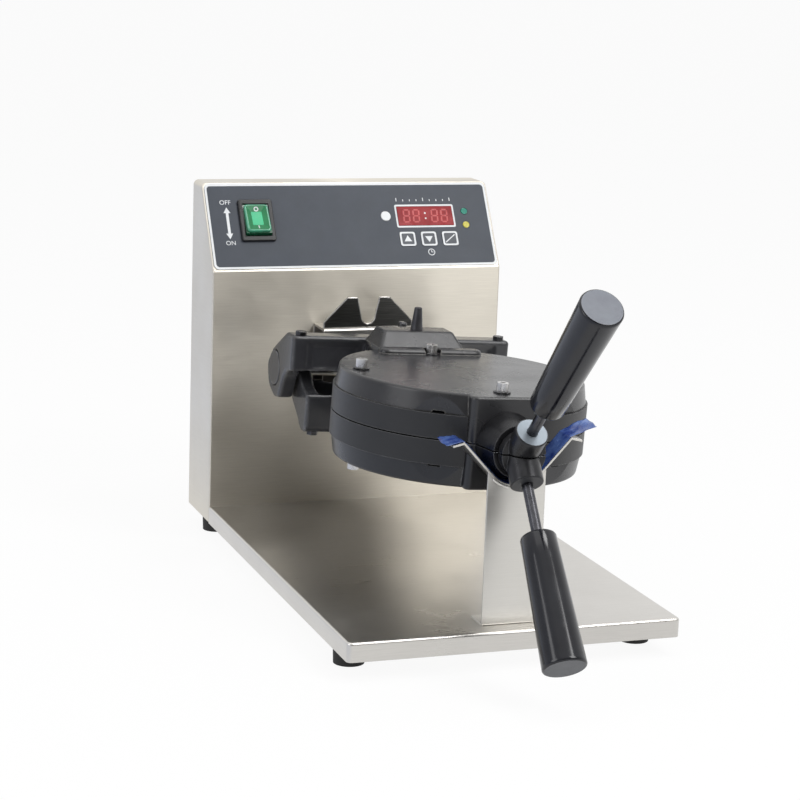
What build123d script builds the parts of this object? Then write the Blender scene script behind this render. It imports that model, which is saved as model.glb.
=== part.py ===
from build123d import *
import os
from math import atan, cos, degrees, hypot, radians, sin

os.makedirs("parts", exist_ok=True)

# Waffle maker with a turning iron on a sheet steel base. Millimetres, X to the right, Y to the back, Z up.
# The origin lies on the table, in the middle of the overall box.

# Sheet steel base and tower
base_width = 260.0
tray_height = 14.5
sheet = 1.5
tray_corner = 4.0
tray_fold = 2.0
tower_depth = 69.1
tower_rise = 273.9
tower_edge = 1.4
tower_top_edge = 4.5
panel_length = 82.6
panel_tilt = 31.86
sheet_fit = 0.15
return_width = 12.0

# Rubber feet
foot_drop = 15.0
foot_low_radius = 11.5
foot_high_radius = 12.6
foot_side_inset = 16.2
foot_front_inset = 45.2
foot_back_inset = 34.4
stud_radius = 3.0
stud_length = 21.0
foot_recess_radius = 7.5
foot_recess_depth = 10.0
foot_nut_radius = 5.6
foot_nut_height = 4.5
thread_fit = 0.05

# Turning axis and the play of the turning stops
axis_rise = 129.2
rest_roll = 3.09
running_fit = 0.05
part_gap = 0.3
face_gap = 0.2

# Baking iron, one half
ring_radius = 97.7
ring_height = 19.0
split_gap = 0.5
pocket_margin = 12.7
pocket_depth = 12.5
gutter_margin = 8.7
gutter_width = 3.0
gutter_depth = 1.5
stud_pitch = 19.0
stud_width = 12.5
stud_taper = 14.0
stud_height = 9.0
stud_rows = 9
cover_inset = 1.4
cover_lean = 2.5
cover_height = 15.7
cover_edge = 2.2
cover_wall = 3.0
cover_screw_inset = 16.2
back_screw_to_bump = 19.0
cover_screw_grip = 4.5
rib_half_length = 43.0
rib_width = 14.0
rib_height = 4.0
rib_edge = 3.2
rib_to_bump = 16.0
rib_screw_gap = 0.8
pry_slot_x = 48.0
pry_slot_length = 8.0
pry_slot_depth = 4.0
pry_slot_height = 1.6
stud_wall_gap = 2.0
heater_tube_radius = 3.2
heater_gap = 0.2
heater_arc = 310.0
thermostat_radius = 9.0
thermostat_height = 7.0

# Front box of the iron and its hub
box_half_width = 29.0
box_proud = 0.9
box_wall = 6.5
box_cover_wall = 11.0
box_corner = 4.5
gutter_box_gap = 4.0
facet_start = 31.0
facet_end = 64.0
hub_root_radius = 24.0
hub_nose_radius = 19.5
hub_length = 24.0
groove_radius = 14.5
groove_width = 3.0
flange_radius = 17.0
flange_width = 7.0
barrel_radius = 12.3
barrel_end_rise = 19.0
barrel_reach = 44.5
barrel_edge = 1.2

# Handles
handle_angle = 48.6
rod_radius = 4.0
rod_depth = 12.0
handle_length = 141.5
grip_start = 30.0
lower_grip_start = 40.0
grip_small_radius = 13.0
grip_large_radius = 16.0
grip_edge = 1.4
grip_small_edge = 2.8
grip_bore_depth = 60.0

# Arm, bump, peg and lug on the back of each half
arm_half_width = 33.0
arm_root_half_width = 40.0
arm_start = 70.0
bump_base_half_width = 36.0
bump_top_half_width = 29.5
bump_to_casting = 7.4
bump_base_length = 40.0
bump_front_slope = 13.0
bump_back_slope = 5.0
bump_rise = 12.5
bump_edge = 3.0
peg_set_back = 6.0
peg_length = 18.5
peg_root_radius = 5.0
peg_tip_radius = 3.0
peg_edge = 0.8
lug_half_width = 3.0
lug_length = 8.0
lug_rise = 13.5
lug_set_back = 1.0
lower_lug_set_back = 3.5

# Lid hinge
hinge_distance = 180.9
casting_inset = 2.1
cheek_thickness = 12.5
casting_front = 46.5
casting_wall = 3.0
casting_recess = 1.5
casting_rim = 4.0
casting_wall_height = 24.3
casting_slot_half_width = 34.0
casting_slot_start = 27.0
casting_window_inner = 37.0
casting_window_margin = 4.0
casting_window_depth = 2.2
casting_window_low = 7.2
casting_window_high = 27.5
casting_edge = 2.0
cheek_gap = 2.3
lower_cheek = 11.0
lower_front = 49.0
lower_extra_height = 9.6
lower_wall_low = 13.5
lower_slot_start = 22.0
ledge_inset = 1.4
ledge_length = 23.0
ledge_depth = 8.0
ledge_thickness = 2.5
ledge_front = 13.0
ledge_drop = 8.5
scoop_radius = 29.0
scoop_wall = 2.5
slot_reach = 60.0
knuckle_radius = 12.0
hinge_pin_radius = 6.0
cap_radius = 14.2
cap_thickness = 3.0
cap_gap = 0.9
yoke_half_width = 24.0
yoke_half_height = 11.0
yoke_front = 11.0
yoke_to_bracket = 4.0
yoke_nose_radius = 8.8
casting_screw_inset = 8.2
casting_screw_back = 40.5
lower_screw_inset = 9.4
casting_screw_depth = 9.0
hex_head_radius = 4.65
hex_head_height = 3.25

# Turning shaft and its bracket
bracket_reach = 30.3
hinge_to_bracket = 35.0
bracket_half_width = 40.0
bracket_half_height = 28.7
bracket_sheet = 2.0
bracket_flange = 11.0
bracket_screw_x = 28.0
bracket_screw_inset = 6.5
latch_back = 3.0
latch_half_width = 39.6
latch_peak_rise = 55.0
latch_shoulder_rise = 34.0
latch_peak_outer = 18.8
latch_peak_inner = 9.6
latch_corner = 1.2
latch_notch_radius = 6.0
latch_notch_rise = 32.2
shaft_radius = 10.0
shaft_bore = 6.0
shaft_socket = 14.0
shaft_tail = 16.0
bush_wall = 3.0
bush_flange = 1.5
bush_flange_radius = 15.5
bush_overhang = 2.0
collar_radius = 15.0
collar_width = 8.0
collar_back = 10.0
finger_reach = 21.0
finger_half_height = 2.5
stop_pin_radius = 2.5
stop_pin_from_axis = 17.5
nut_width = 6.0
nut_radius = 16.0

# Post and cradle at the front
post_half_width = 22.5
post_front = 16.5
post_flange = 21.6
post_fold = 1.2
post_screw_back = 13.0
cradle_depth = 21.0
cradle_gap = 2.0
cradle_sheet = 1.5
cradle_slope = 47.4
cradle_shoulder = 41.5
cradle_tab = 8.5
cradle_tab_drop = 2.0
film = 0.3
film_left_overhang = 5.0
film_flap_length = 20.0
film_flap_rise = 6.0

# Screws
screw_radius = 2.5
screw_head_radius = 4.25
screw_head_height = 6.5
socket_radius = 2.3
socket_depth = 2.8
washer_radius = 6.6
washer_height = 1.3
small_screw_radius = 1.75
small_head_radius = 3.4
small_head_height = 2.2
small_head_edge = 0.7

# Control panel, measured from the fold line upwards along the slope
overlay_thickness = 0.4
overlay_side_margin = 1.7
overlay_low = 2.0
overlay_top_margin = 1.4
overlay_corner = 4.5
switch_inset = 44.0
switch_rise = 46.3
bezel_width = 30.0
bezel_length = 38.5
bezel_height = 2.8
bezel_corner = 2.0
bezel_edge = 1.0
switch_body_width = 26.4
switch_body_length = 34.0
switch_body_depth = 24.0
rocker_width = 22.6
rocker_half_length = 14.2
rocker_gap = 0.9
rocker_side_gap = 0.3
rocker_tilt = 8.0
rocker_rise = 5.0
rocker_valley = 4.3
rocker_base_half_length = 10.5
rocker_base_drop = 6.5
rocker_pivot_drop = 1.0
rocker_swing_room = 2.0
trunnion_radius = 1.6
trunnion_length = 1.2
window_inset = 62.2
window_rise = 49.3
window_width = 50.9
window_height = 17.9
window_proud = 0.3
module_depth = 8.0
board_drop = 12.0
board_thickness = 1.6
board_width = 100.0
board_height = 62.0
board_side_gap = 8.5
board_rise = 40.0
spacer_radius = 3.0
spacer_inset = 4.0
tact_size = 7.0
key_insets = {"key_up": 81.6, "key_down": 62.0, "key_start": 42.3}
key_rise = 27.5
key_width = 14.4
key_height = 13.6
key_corner = 2.2
key_proud = 0.3
key_travel = 0.6
key_flange = 1.0
key_flange_margin = 1.2
lamp_sizes = {
    "ready_lamp": (25.2, 53.5, 3.0),
    "power_lamp": (25.2, 40.5, 3.0),
    "heat_lamp": (98.7, 49.5, 4.5),
}
lamp_proud = 0.4

# Back of the tower
gland_inset = 45.0
gland_rise = 32.0
gland_radius = 7.0
gland_collar_radius = 11.0
gland_reach = 9.0
gland_nut_width = 4.0
gland_dome_radius = 8.6
gland_dome_edge = 1.0
gland_bore = 4.2
vent_rows = 5
vent_columns = 3
vent_length = 36.0
vent_width = 4.0
vent_pitch = 12.0
vent_column_pitch = 50.0
vent_rise = 170.0
terminal_width = 60.0
terminal_depth = 26.0
terminal_height = 22.0
terminal_inset = 70.0
terminal_columns = 4
relay_width = 38.0
relay_depth = 32.0
relay_height = 44.0
relay_corner = 2.0
relay_inset = 60.0

# Worked out heights, all from the table
base_underside = foot_drop
deck = base_underside + tray_height
tower_top = deck + tower_rise
fold_z = tower_top - panel_length * cos(radians(panel_tilt))
axis_z = deck + axis_rise
casting_top = ring_height + cover_height
lower_casting_top = casting_top + lower_extra_height

# Worked out radii and distances of the iron
pocket_radius = ring_radius - pocket_margin
gutter_inner_radius = ring_radius - gutter_margin
cover_base_radius = ring_radius - cover_inset
cover_top_radius = cover_base_radius - cover_lean
cover_screw_reach = ring_radius - cover_screw_inset
box_front_reach = ring_radius + box_proud
bump_base_back = hinge_distance - casting_front - bump_to_casting
bump_base_front = bump_base_back - bump_base_length
bump_top_front = bump_base_front + bump_front_slope
bump_top_back = bump_base_back - bump_back_slope
peg_from_centre = bump_top_front + peg_set_back
back_screw_reach = bump_base_front - back_screw_to_bump
heater_ring_radius = back_screw_reach - washer_radius - heater_gap - heater_tube_radius
rib_from_centre = bump_base_front - rib_to_bump
casting_half_width = cover_base_radius - casting_inset
cheek_inner = casting_half_width - cheek_thickness
lower_half_width = cheek_inner - cheek_gap
casting_window_outer = cheek_inner - casting_window_margin
casting_screw_x = casting_half_width - casting_screw_inset
lower_screw_x = lower_half_width - lower_screw_inset
ledge_start = lower_half_width - ledge_inset
yoke_back = hinge_to_bracket - yoke_to_bracket

# Side outlines of the two hinge castings, depth behind the hinge line and height from it
upper_cheek_outline = [
    (-casting_front, 6.2),
    (-casting_front, casting_top),
    (-casting_slot_start, casting_top),
    (9.5, 14.3),
    (19.5, 1.6),
    (18.0, -8.0),
    (11.0, -18.0),
    (-4.0, -24.0),
    (-17.0, -22.0),
    (-27.0, -3.6),
    (-33.6, 2.5),
]
upper_cheek_bends = [1.0, 2.5, 8.0, 10.0, 6.0, 8.0, 8.0, 8.0, 3.0, 3.0, 3.0]
upper_roof_inside = [(-27.8, casting_top - casting_wall), (8.2, 11.6), (11.0, 16.5)]
lower_cheek_outline = [
    (-lower_front, lower_wall_low),
    (-lower_front, lower_casting_top),
    (-36.0, lower_casting_top),
    (-24.0, 35.0),
    (-9.0, 25.5),
    (5.0, 13.0),
    (9.0, 6.0),
    (9.0, -8.0),
    (-8.0, -9.0),
    (-16.0, -6.0),
    (-33.0, 9.0),
]
lower_cheek_bends = [1.0, 4.0, 6.0, 6.0, 8.0, 4.0, 3.0, 3.0, 3.0, 3.0, 6.0]
lower_floor_inside = [(-37.0, lower_casting_top - casting_wall), (-25.5, 31.8), (-10.5, 22.6), (-8.0, 28.5)]

# Places on the control panel and on the tower, from its side edges
overlay_half_width = base_width / 2 - overlay_side_margin
overlay_high = panel_length - overlay_top_margin
switch_x = switch_inset - base_width / 2
window_x = base_width / 2 - window_inset
board_x = base_width / 2 - sheet - board_side_gap - board_width / 2
key_xs = {name: base_width / 2 - inset for name, inset in key_insets.items()}
lamps = {name: (base_width / 2 - inset, rise, radius) for name, (inset, rise, radius) in lamp_sizes.items()}
gland_x = gland_inset - base_width / 2
terminal_block_x = terminal_inset - base_width / 2
relay_x = base_width / 2 - relay_inset

# Worked out depths, so that the overall box is centred on the origin
grip_along = (handle_length - grip_edge) * cos(radians(handle_angle))
grip_across = (grip_large_radius - grip_edge) * sin(radians(handle_angle))
handle_run = grip_along + grip_across + grip_edge
centre_to_tower = hinge_distance + hinge_to_bracket + bracket_reach
deck_depth = post_front + cradle_depth + cradle_gap + box_front_reach + centre_to_tower
base_depth = deck_depth + tower_depth
front_reach = box_front_reach + barrel_reach + handle_run - (deck_depth - centre_to_tower)
base_front = (front_reach - base_depth - gland_reach) / 2
base_back = base_front + base_depth
tower_front = base_front + deck_depth
bracket_front = tower_front - bracket_reach
hinge_y = bracket_front - hinge_to_bracket
iron_y = hinge_y - hinge_distance
box_front = iron_y - box_front_reach
barrel_y = box_front - barrel_reach

# The iron is built level on its own planes, which lean by the play of the stop
roll = radians(rest_roll)
iron_x = Vector(cos(roll), 0, -sin(roll))
iron_up = Vector(sin(roll), 0, cos(roll))
turning_centre = Vector(0, iron_y, axis_z)
upper = Plane(origin=turning_centre, x_dir=iron_x, z_dir=iron_up)
lower = Plane(origin=turning_centre, x_dir=-iron_x, z_dir=-iron_up)


def finish(piece, name):
    """Label one finished piece and write it."""
    piece.part.label = name
    export_step(piece.part, f"parts/{name}.step")


def front_of(half):
    """The upright plane across an iron half, through its centre, facing the front."""
    return Plane(origin=half.origin, x_dir=half.x_dir, z_dir=(0, -1, 0))


def side_of(half):
    """The upright plane along an iron half, through its hinge line, local x to the back."""
    return Plane(origin=half.origin + Vector(0, hinge_distance, 0), x_dir=(0, 1, 0), z_dir=half.x_dir)


# Base tray
tucked_width = base_width - 2 * (sheet + sheet_fit)
under_base = Plane.XY.offset(base_underside)
foot_places = [
    (side * (base_width / 2 - foot_side_inset), y)
    for side in (-1, 1)
    for y in (base_front + foot_front_inset, base_back - foot_back_inset)
]
with BuildPart() as base_tray:
    with BuildSketch(under_base):
        with Locations((0, base_front)):
            Rectangle(base_width, deck_depth, align=(Align.CENTER, Align.MIN))
        fillet(vertices().group_by(Axis.Y)[0], tray_corner)
    extrude(amount=tray_height)
    fillet(faces().sort_by(Axis.Z)[-1].edges().sort_by(Axis.Y)[:-1], tray_fold)
    with BuildSketch(under_base):
        with Locations((0, tower_front)):
            Rectangle(tucked_width, tower_depth - sheet, align=(Align.CENTER, Align.MIN))
    extrude(amount=tray_height)
    with BuildSketch(under_base):
        with Locations((0, base_front + sheet)):
            Rectangle(base_width - 2 * sheet, deck_depth - sheet, align=(Align.CENTER, Align.MIN))
        fillet(vertices().group_by(Axis.Y)[0], tray_corner - sheet)
        with Locations((0, tower_front)):
            Rectangle(tucked_width - 2 * sheet, tower_depth - 2 * sheet, align=(Align.CENTER, Align.MIN))
    extrude(amount=tray_height - sheet, mode=Mode.SUBTRACT)
    with BuildSketch(Plane.XY.offset(deck - sheet)):
        with Locations(*foot_places):
            Circle(stud_radius)
    extrude(amount=-stud_length)
finish(base_tray, "base_tray")

# Rubber feet and their nuts
foot_height = deck - sheet
with BuildPart() as rubber_feet:
    with Locations(*[(x, y, 0) for x, y in foot_places]):
        Cone(foot_low_radius, foot_high_radius, foot_height, align=(Align.CENTER, Align.CENTER, Align.MIN))
    with BuildSketch():
        with Locations(*foot_places):
            Circle(stud_radius + thread_fit)
    extrude(amount=foot_height, mode=Mode.SUBTRACT)
    with BuildSketch():
        with Locations(*foot_places):
            Circle(foot_recess_radius)
    extrude(amount=foot_recess_depth, mode=Mode.SUBTRACT)
finish(rubber_feet, "rubber_feet")

with BuildPart() as foot_nuts:
    with BuildSketch(Plane.XY.offset(foot_recess_depth)):
        with Locations(*foot_places):
            RegularPolygon(foot_nut_radius, 6)
            Circle(stud_radius + thread_fit, mode=Mode.SUBTRACT)
    extrude(amount=-foot_nut_height)
finish(foot_nuts, "foot_nuts")

# Tower shell, folded round the front, the slanted panel and the top
panel_setback = panel_length * sin(radians(panel_tilt))
tower_outline = [
    (tower_front, base_underside),
    (tower_front, fold_z),
    (tower_front + panel_setback, tower_top),
    (base_back, tower_top),
    (base_back, base_underside),
]
panel = Plane(
    origin=(0, tower_front, fold_z),
    x_dir=(1, 0, 0),
    z_dir=(0, -cos(radians(panel_tilt)), sin(radians(panel_tilt))),
)
tower_face = Plane(origin=(0, tower_front, 0), x_dir=(1, 0, 0), z_dir=(0, -1, 0))
tower_middle_z = (base_underside + tower_top - sheet) / 2
inner_width = base_width - 2 * sheet
bracket_screw_places = [
    (x, axis_z + z)
    for x in (-bracket_screw_x, bracket_screw_x)
    for z in (-bracket_half_height + bracket_screw_inset, bracket_half_height - bracket_screw_inset)
]
bush_outer_radius = shaft_radius + running_fit + bush_wall
board_corners = [
    (board_x + x * (board_width / 2 - spacer_inset), board_rise + s * (board_height / 2 - spacer_inset))
    for x in (-1, 1)
    for s in (-1, 1)
]


def control_openings(margin):
    """Sketch every opening of the control panel, each wider than what goes through it by a margin."""
    with Locations((switch_x, switch_rise)):
        Rectangle(switch_body_width + 2 * margin, switch_body_length + 2 * margin)
    with Locations((window_x, window_rise)):
        Rectangle(window_width + 2 * margin, window_height + 2 * margin)
    for key_x in key_xs.values():
        with Locations((key_x, key_rise)):
            RectangleRounded(key_width + 2 * margin, key_height + 2 * margin, key_corner + margin)
    for lamp_x, lamp_rise, lamp_radius in lamps.values():
        with Locations((lamp_x, lamp_rise)):
            Circle(lamp_radius + margin)


def on_front_side(edge):
    """Whether an edge is one of the long side edges of the tower's front or slanted panel."""
    middle = edge.center()
    on_side = abs(abs(middle.X) - base_width / 2) < thread_fit
    return on_side and middle.Y < tower_front + panel_setback - tower_top_edge and edge.length > tower_depth


with BuildPart() as tower_shell:
    with BuildSketch(Plane.YZ):
        with BuildLine():
            Polyline(*tower_outline, close=True)
        make_face()
    extrude(amount=base_width / 2, both=True)
    top_sides = edges().filter_by(Axis.Y).group_by(Axis.Z)[-1]
    fillet(top_sides, tower_top_edge)
    front_sides = [edge for edge in edges() if on_front_side(edge)]
    fillet(front_sides, tower_edge)
    with BuildSketch(Plane.YZ):
        with BuildLine():
            Polyline(*tower_outline, close=True)
        make_face()
        offset(amount=-sheet, kind=Kind.INTERSECTION)
    extrude(amount=inner_width / 2, both=True, mode=Mode.SUBTRACT)
    with BuildSketch(Plane.XZ.offset(-base_back)):
        with Locations((0, base_underside)):
            Rectangle(inner_width, tower_top - sheet - base_underside, align=(Align.CENTER, Align.MIN))
    extrude(amount=sheet, mode=Mode.SUBTRACT)
    with BuildSketch(under_base):
        with Locations((0, tower_front)):
            Rectangle(inner_width, tower_depth, align=(Align.CENTER, Align.MIN))
    extrude(amount=tray_height, mode=Mode.SUBTRACT)
    with BuildSketch(Plane.XZ.offset(-base_back + sheet)):
        with Locations((0, deck)):
            Rectangle(inner_width, tower_top - sheet - deck, align=(Align.CENTER, Align.MIN))
        with Locations((0, deck)):
            Rectangle(
                inner_width - 2 * return_width,
                tower_top - sheet - deck - return_width,
                align=(Align.CENTER, Align.MIN),
                mode=Mode.SUBTRACT,
            )
    extrude(amount=sheet)
    with BuildSketch(tower_face):
        with Locations((0, axis_z)):
            Circle(bush_outer_radius + thread_fit)
        with Locations(*bracket_screw_places):
            Circle(screw_radius + thread_fit)
    extrude(amount=-sheet, mode=Mode.SUBTRACT)
    with BuildSketch(panel):
        control_openings(part_gap)
    extrude(amount=-2 * sheet, mode=Mode.SUBTRACT)
finish(tower_shell, "tower_shell")

# Back cover with vents, its screws and the cord gland
cover_plane = Plane(origin=(0, base_back, 0), x_dir=(-1, 0, 0), z_dir=(0, 1, 0))
back_height = tower_top - sheet - sheet_fit - base_underside
gland_z = deck + gland_rise
back_screw_places = [
    (side * (inner_width / 2 - return_width / 2), z)
    for side in (-1, 1)
    for z in (deck + 2 * return_width, tower_middle_z, tower_top - 2 * return_width)
]
with BuildPart() as back_cover:
    with BuildSketch(cover_plane):
        with Locations((0, base_underside)):
            Rectangle(inner_width - 2 * sheet_fit, back_height, align=(Align.CENTER, Align.MIN))
        with Locations(*back_screw_places):
            Circle(small_screw_radius + thread_fit, mode=Mode.SUBTRACT)
        with Locations((-gland_x, gland_z)):
            Circle(gland_radius + thread_fit, mode=Mode.SUBTRACT)
        with Locations((0, deck + vent_rise)):
            with GridLocations(vent_column_pitch, vent_pitch, vent_columns, vent_rows):
                SlotOverall(vent_length, vent_width, mode=Mode.SUBTRACT)
    extrude(amount=-sheet)
finish(back_cover, "back_cover")

with BuildPart() as back_cover_screws:
    with BuildSketch(cover_plane):
        with Locations(*back_screw_places):
            Circle(small_head_radius)
    extrude(amount=small_head_height)
    fillet(faces().sort_by(Axis.Y)[-1].edges(), small_head_edge)
    with BuildSketch(cover_plane):
        with Locations(*back_screw_places):
            Circle(small_screw_radius)
    extrude(amount=-sheet)
finish(back_cover_screws, "back_cover_screws")

with BuildPart() as cord_gland:
    with BuildSketch(cover_plane):
        with Locations((-gland_x, gland_z)):
            RegularPolygon(gland_collar_radius, 6)
    extrude(amount=gland_nut_width)
    with BuildSketch(cover_plane):
        with Locations((-gland_x, gland_z)):
            Circle(gland_dome_radius)
    extrude(amount=gland_reach)
    fillet(faces().sort_by(Axis.Y)[-1].edges(), gland_dome_edge)
    with BuildSketch(cover_plane):
        with Locations((-gland_x, gland_z)):
            Circle(gland_radius)
    extrude(amount=-gland_reach)
    with BuildSketch(cover_plane.offset(-sheet)):
        with Locations((-gland_x, gland_z)):
            RegularPolygon(gland_collar_radius, 6)
    extrude(amount=-gland_nut_width)
    with BuildSketch(cover_plane.offset(gland_reach)):
        with Locations((-gland_x, gland_z)):
            Circle(gland_bore)
    extrude(amount=-2 * gland_reach, mode=Mode.SUBTRACT)
finish(cord_gland, "cord_gland")

# Pivot bracket, a channel folded from strip, with its screws
bracket_outline = [
    (tower_front, bracket_half_height),
    (bracket_front, bracket_half_height),
    (bracket_front, -bracket_half_height),
    (tower_front, -bracket_half_height),
    (tower_front, -bracket_half_height + bracket_flange + bracket_sheet),
    (tower_front - bracket_sheet, -bracket_half_height + bracket_flange + bracket_sheet),
    (tower_front - bracket_sheet, -bracket_half_height + bracket_sheet),
    (bracket_front + bracket_sheet, -bracket_half_height + bracket_sheet),
    (bracket_front + bracket_sheet, bracket_half_height - bracket_sheet),
    (tower_front - bracket_sheet, bracket_half_height - bracket_sheet),
    (tower_front - bracket_sheet, bracket_half_height - bracket_flange - bracket_sheet),
    (tower_front, bracket_half_height - bracket_flange - bracket_sheet),
]
bracket_face = Plane(origin=(0, bracket_front, axis_z), x_dir=(1, 0, 0), z_dir=(0, -1, 0))
with BuildPart() as pivot_bracket:
    with BuildSketch(Plane.YZ):
        with BuildLine():
            Polyline(*[(y, axis_z + z) for y, z in bracket_outline], close=True)
        make_face()
    extrude(amount=bracket_half_width, both=True)
    outer_folds = edges().filter_by(Axis.X).group_by(Axis.Y)[0]
    fillet(outer_folds, bracket_sheet)
    with BuildSketch(bracket_face):
        Circle(bush_outer_radius + thread_fit)
    extrude(amount=-bracket_sheet, mode=Mode.SUBTRACT)
    with BuildSketch(tower_face):
        with Locations(*bracket_screw_places):
            Circle(screw_radius + thread_fit)
    extrude(amount=bracket_sheet, mode=Mode.SUBTRACT)
finish(pivot_bracket, "pivot_bracket")

with BuildPart() as bracket_screws:
    with BuildSketch(tower_face.offset(bracket_sheet)):
        with Locations(*bracket_screw_places):
            Circle(screw_head_radius)
    extrude(amount=small_head_height)
    with BuildSketch(tower_face.offset(bracket_sheet)):
        with Locations(*bracket_screw_places):
            Circle(screw_radius)
    extrude(amount=-(bracket_sheet + sheet + foot_nut_height))
    with BuildSketch(tower_face.offset(-sheet)):
        with Locations(*bracket_screw_places):
            RegularPolygon(foot_nut_radius, 6)
    extrude(amount=-foot_nut_height)
finish(bracket_screws, "bracket_screws")

# Notched latch plate standing on the bracket
notch_centre_rise = latch_notch_rise + latch_notch_radius
with BuildPart() as latch_plate:
    with BuildSketch(bracket_face.offset(-latch_back)):
        with BuildLine():
            Polyline(
                (-latch_half_width, bracket_half_height),
                (-latch_half_width, latch_shoulder_rise),
                (-latch_peak_outer, latch_peak_rise),
                (-latch_peak_inner, latch_peak_rise),
                (-latch_notch_radius, notch_centre_rise),
            )
            RadiusArc(
                (-latch_notch_radius, notch_centre_rise),
                (latch_notch_radius, notch_centre_rise),
                -latch_notch_radius,
            )
            Polyline(
                (latch_notch_radius, notch_centre_rise),
                (latch_peak_inner, latch_peak_rise),
                (latch_peak_outer, latch_peak_rise),
                (latch_half_width, latch_shoulder_rise),
                (latch_half_width, bracket_half_height),
                (-latch_half_width, bracket_half_height),
            )
        make_face()
    extrude(amount=-bracket_sheet)
    peaks = edges().filter_by(Axis.Y).group_by(Axis.Z)[-1]
    fillet(peaks, latch_corner)
finish(latch_plate, "latch_plate")

# Bushes for the shaft, one in the bracket and one in the tower wall
with BuildPart() as shaft_bushes:
    for face, sleeve in ((bracket_face, bracket_sheet + bush_overhang), (tower_face, sheet + bush_overhang)):
        for radius, depth in ((bush_flange_radius, bush_flange), (bush_outer_radius, -sleeve)):
            with BuildSketch(face):
                with Locations((0, axis_z - face.origin.Z)):
                    Circle(radius)
                    Circle(shaft_radius + running_fit, mode=Mode.SUBTRACT)
            extrude(amount=depth)
finish(shaft_bushes, "shaft_bushes")

# Stop pins between the bracket and the tower
finger_side = Vector(stop_pin_from_axis, 0, -finger_half_height - stop_pin_radius - part_gap)
stop_x = finger_side.X * cos(roll) + finger_side.Z * sin(roll)
stop_z = axis_z - finger_side.X * sin(roll) + finger_side.Z * cos(roll)
with BuildPart() as stop_pins:
    with BuildSketch(tower_face):
        with Locations((-stop_x, stop_z), (stop_x, stop_z)):
            Circle(stop_pin_radius)
    extrude(amount=bracket_reach - bracket_sheet)
finish(stop_pins, "stop_pins")

# Support post, cradle and the film on it
post_face = Plane(origin=(0, base_front + post_front, 0), x_dir=(1, 0, 0), z_dir=(0, -1, 0))
cradle_radius = hub_root_radius + part_gap + film
slope = radians(cradle_slope)
cradle_tabs = cradle_shoulder + cradle_tab


def cradle_points(radius, reach):
    """Corner points of a line that lies in the cradle at a radius from the axis, out to a reach."""
    bottom = axis_z - radius / cos(slope)
    shoulder = bottom + cradle_shoulder * sin(slope) / cos(slope)
    drop = cradle_tab_drop * (reach - cradle_shoulder) / cradle_tab
    return [
        (-reach, shoulder - drop),
        (-cradle_shoulder, shoulder),
        (0, bottom),
        (cradle_shoulder, shoulder),
        (reach, shoulder - drop),
    ]


def cradle_bends(radius):
    """Bend radii of that line: two tight shoulders and a bottom round the axis."""
    return [cradle_sheet, radius, cradle_sheet]


with BuildPart() as cradle:
    strip_radius = cradle_radius + cradle_sheet / 2
    with BuildSketch(post_face):
        with BuildLine():
            FilletPolyline(*cradle_points(strip_radius, cradle_tabs), radius=cradle_bends(strip_radius))
        trace(line_width=cradle_sheet)
    extrude(amount=-cradle_depth)
finish(cradle, "cradle")

with BuildPart() as cradle_film:
    film_radius = cradle_radius - film / 2
    film_line = cradle_points(film_radius, cradle_tabs + film_left_overhang)
    film_flap = (cradle_shoulder + film_flap_length, film_line[3][1] + film_flap_rise)
    with BuildSketch(post_face):
        with BuildLine():
            FilletPolyline(*film_line[:4], film_flap, radius=cradle_bends(film_radius))
        trace(line_width=film)
    extrude(amount=-cradle_depth)
finish(cradle_film, "cradle_film")

outer_radius = cradle_radius + cradle_sheet
with BuildPart() as support_post:
    with BuildSketch(post_face):
        with Locations((0, deck)):
            Rectangle(2 * post_half_width, axis_rise, align=(Align.CENTER, Align.MIN))
        with BuildLine():
            Polyline(
                (-outer_radius * sin(slope), axis_z - outer_radius * cos(slope)),
                cradle_points(outer_radius, cradle_tabs)[1],
                (-cradle_shoulder, axis_z + axis_rise),
                (cradle_shoulder, axis_z + axis_rise),
                cradle_points(outer_radius, cradle_tabs)[3],
                (outer_radius * sin(slope), axis_z - outer_radius * cos(slope)),
                close=True,
            )
        make_face(mode=Mode.SUBTRACT)
        with Locations((0, axis_z)):
            Circle(outer_radius, mode=Mode.SUBTRACT)
    extrude(amount=-sheet)
    with BuildSketch(post_face):
        with Locations((0, deck)):
            Rectangle(2 * post_half_width, sheet, align=(Align.CENTER, Align.MIN))
    extrude(amount=-post_flange)
    front_fold = edges().filter_by(Axis.X).group_by(Axis.Z)[0].sort_by(Axis.Y)[0]
    fillet(front_fold, post_fold)
finish(support_post, "support_post")

post_screw_y = base_front + post_front + post_screw_back
with BuildPart() as post_screws:
    with BuildSketch(Plane.XY.offset(deck + sheet)):
        with Locations((-post_half_width / 2, post_screw_y), (post_half_width / 2, post_screw_y)):
            Circle(small_head_radius)
    extrude(amount=small_head_height)
    fillet(faces().sort_by(Axis.Z)[-1].edges(), small_head_edge)
finish(post_screws, "post_screws")

# Control panel: overlay, switch, display, keys and lamps
overlay_rise = (overlay_low + overlay_high) / 2
with BuildPart() as control_overlay:
    with BuildSketch(panel):
        with Locations((0, overlay_rise)):
            RectangleRounded(2 * overlay_half_width, overlay_high - overlay_low, overlay_corner)
    extrude(amount=overlay_thickness)
    with BuildSketch(panel):
        control_openings(part_gap)
    extrude(amount=overlay_thickness, mode=Mode.SUBTRACT)
finish(control_overlay, "control_overlay")

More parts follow.
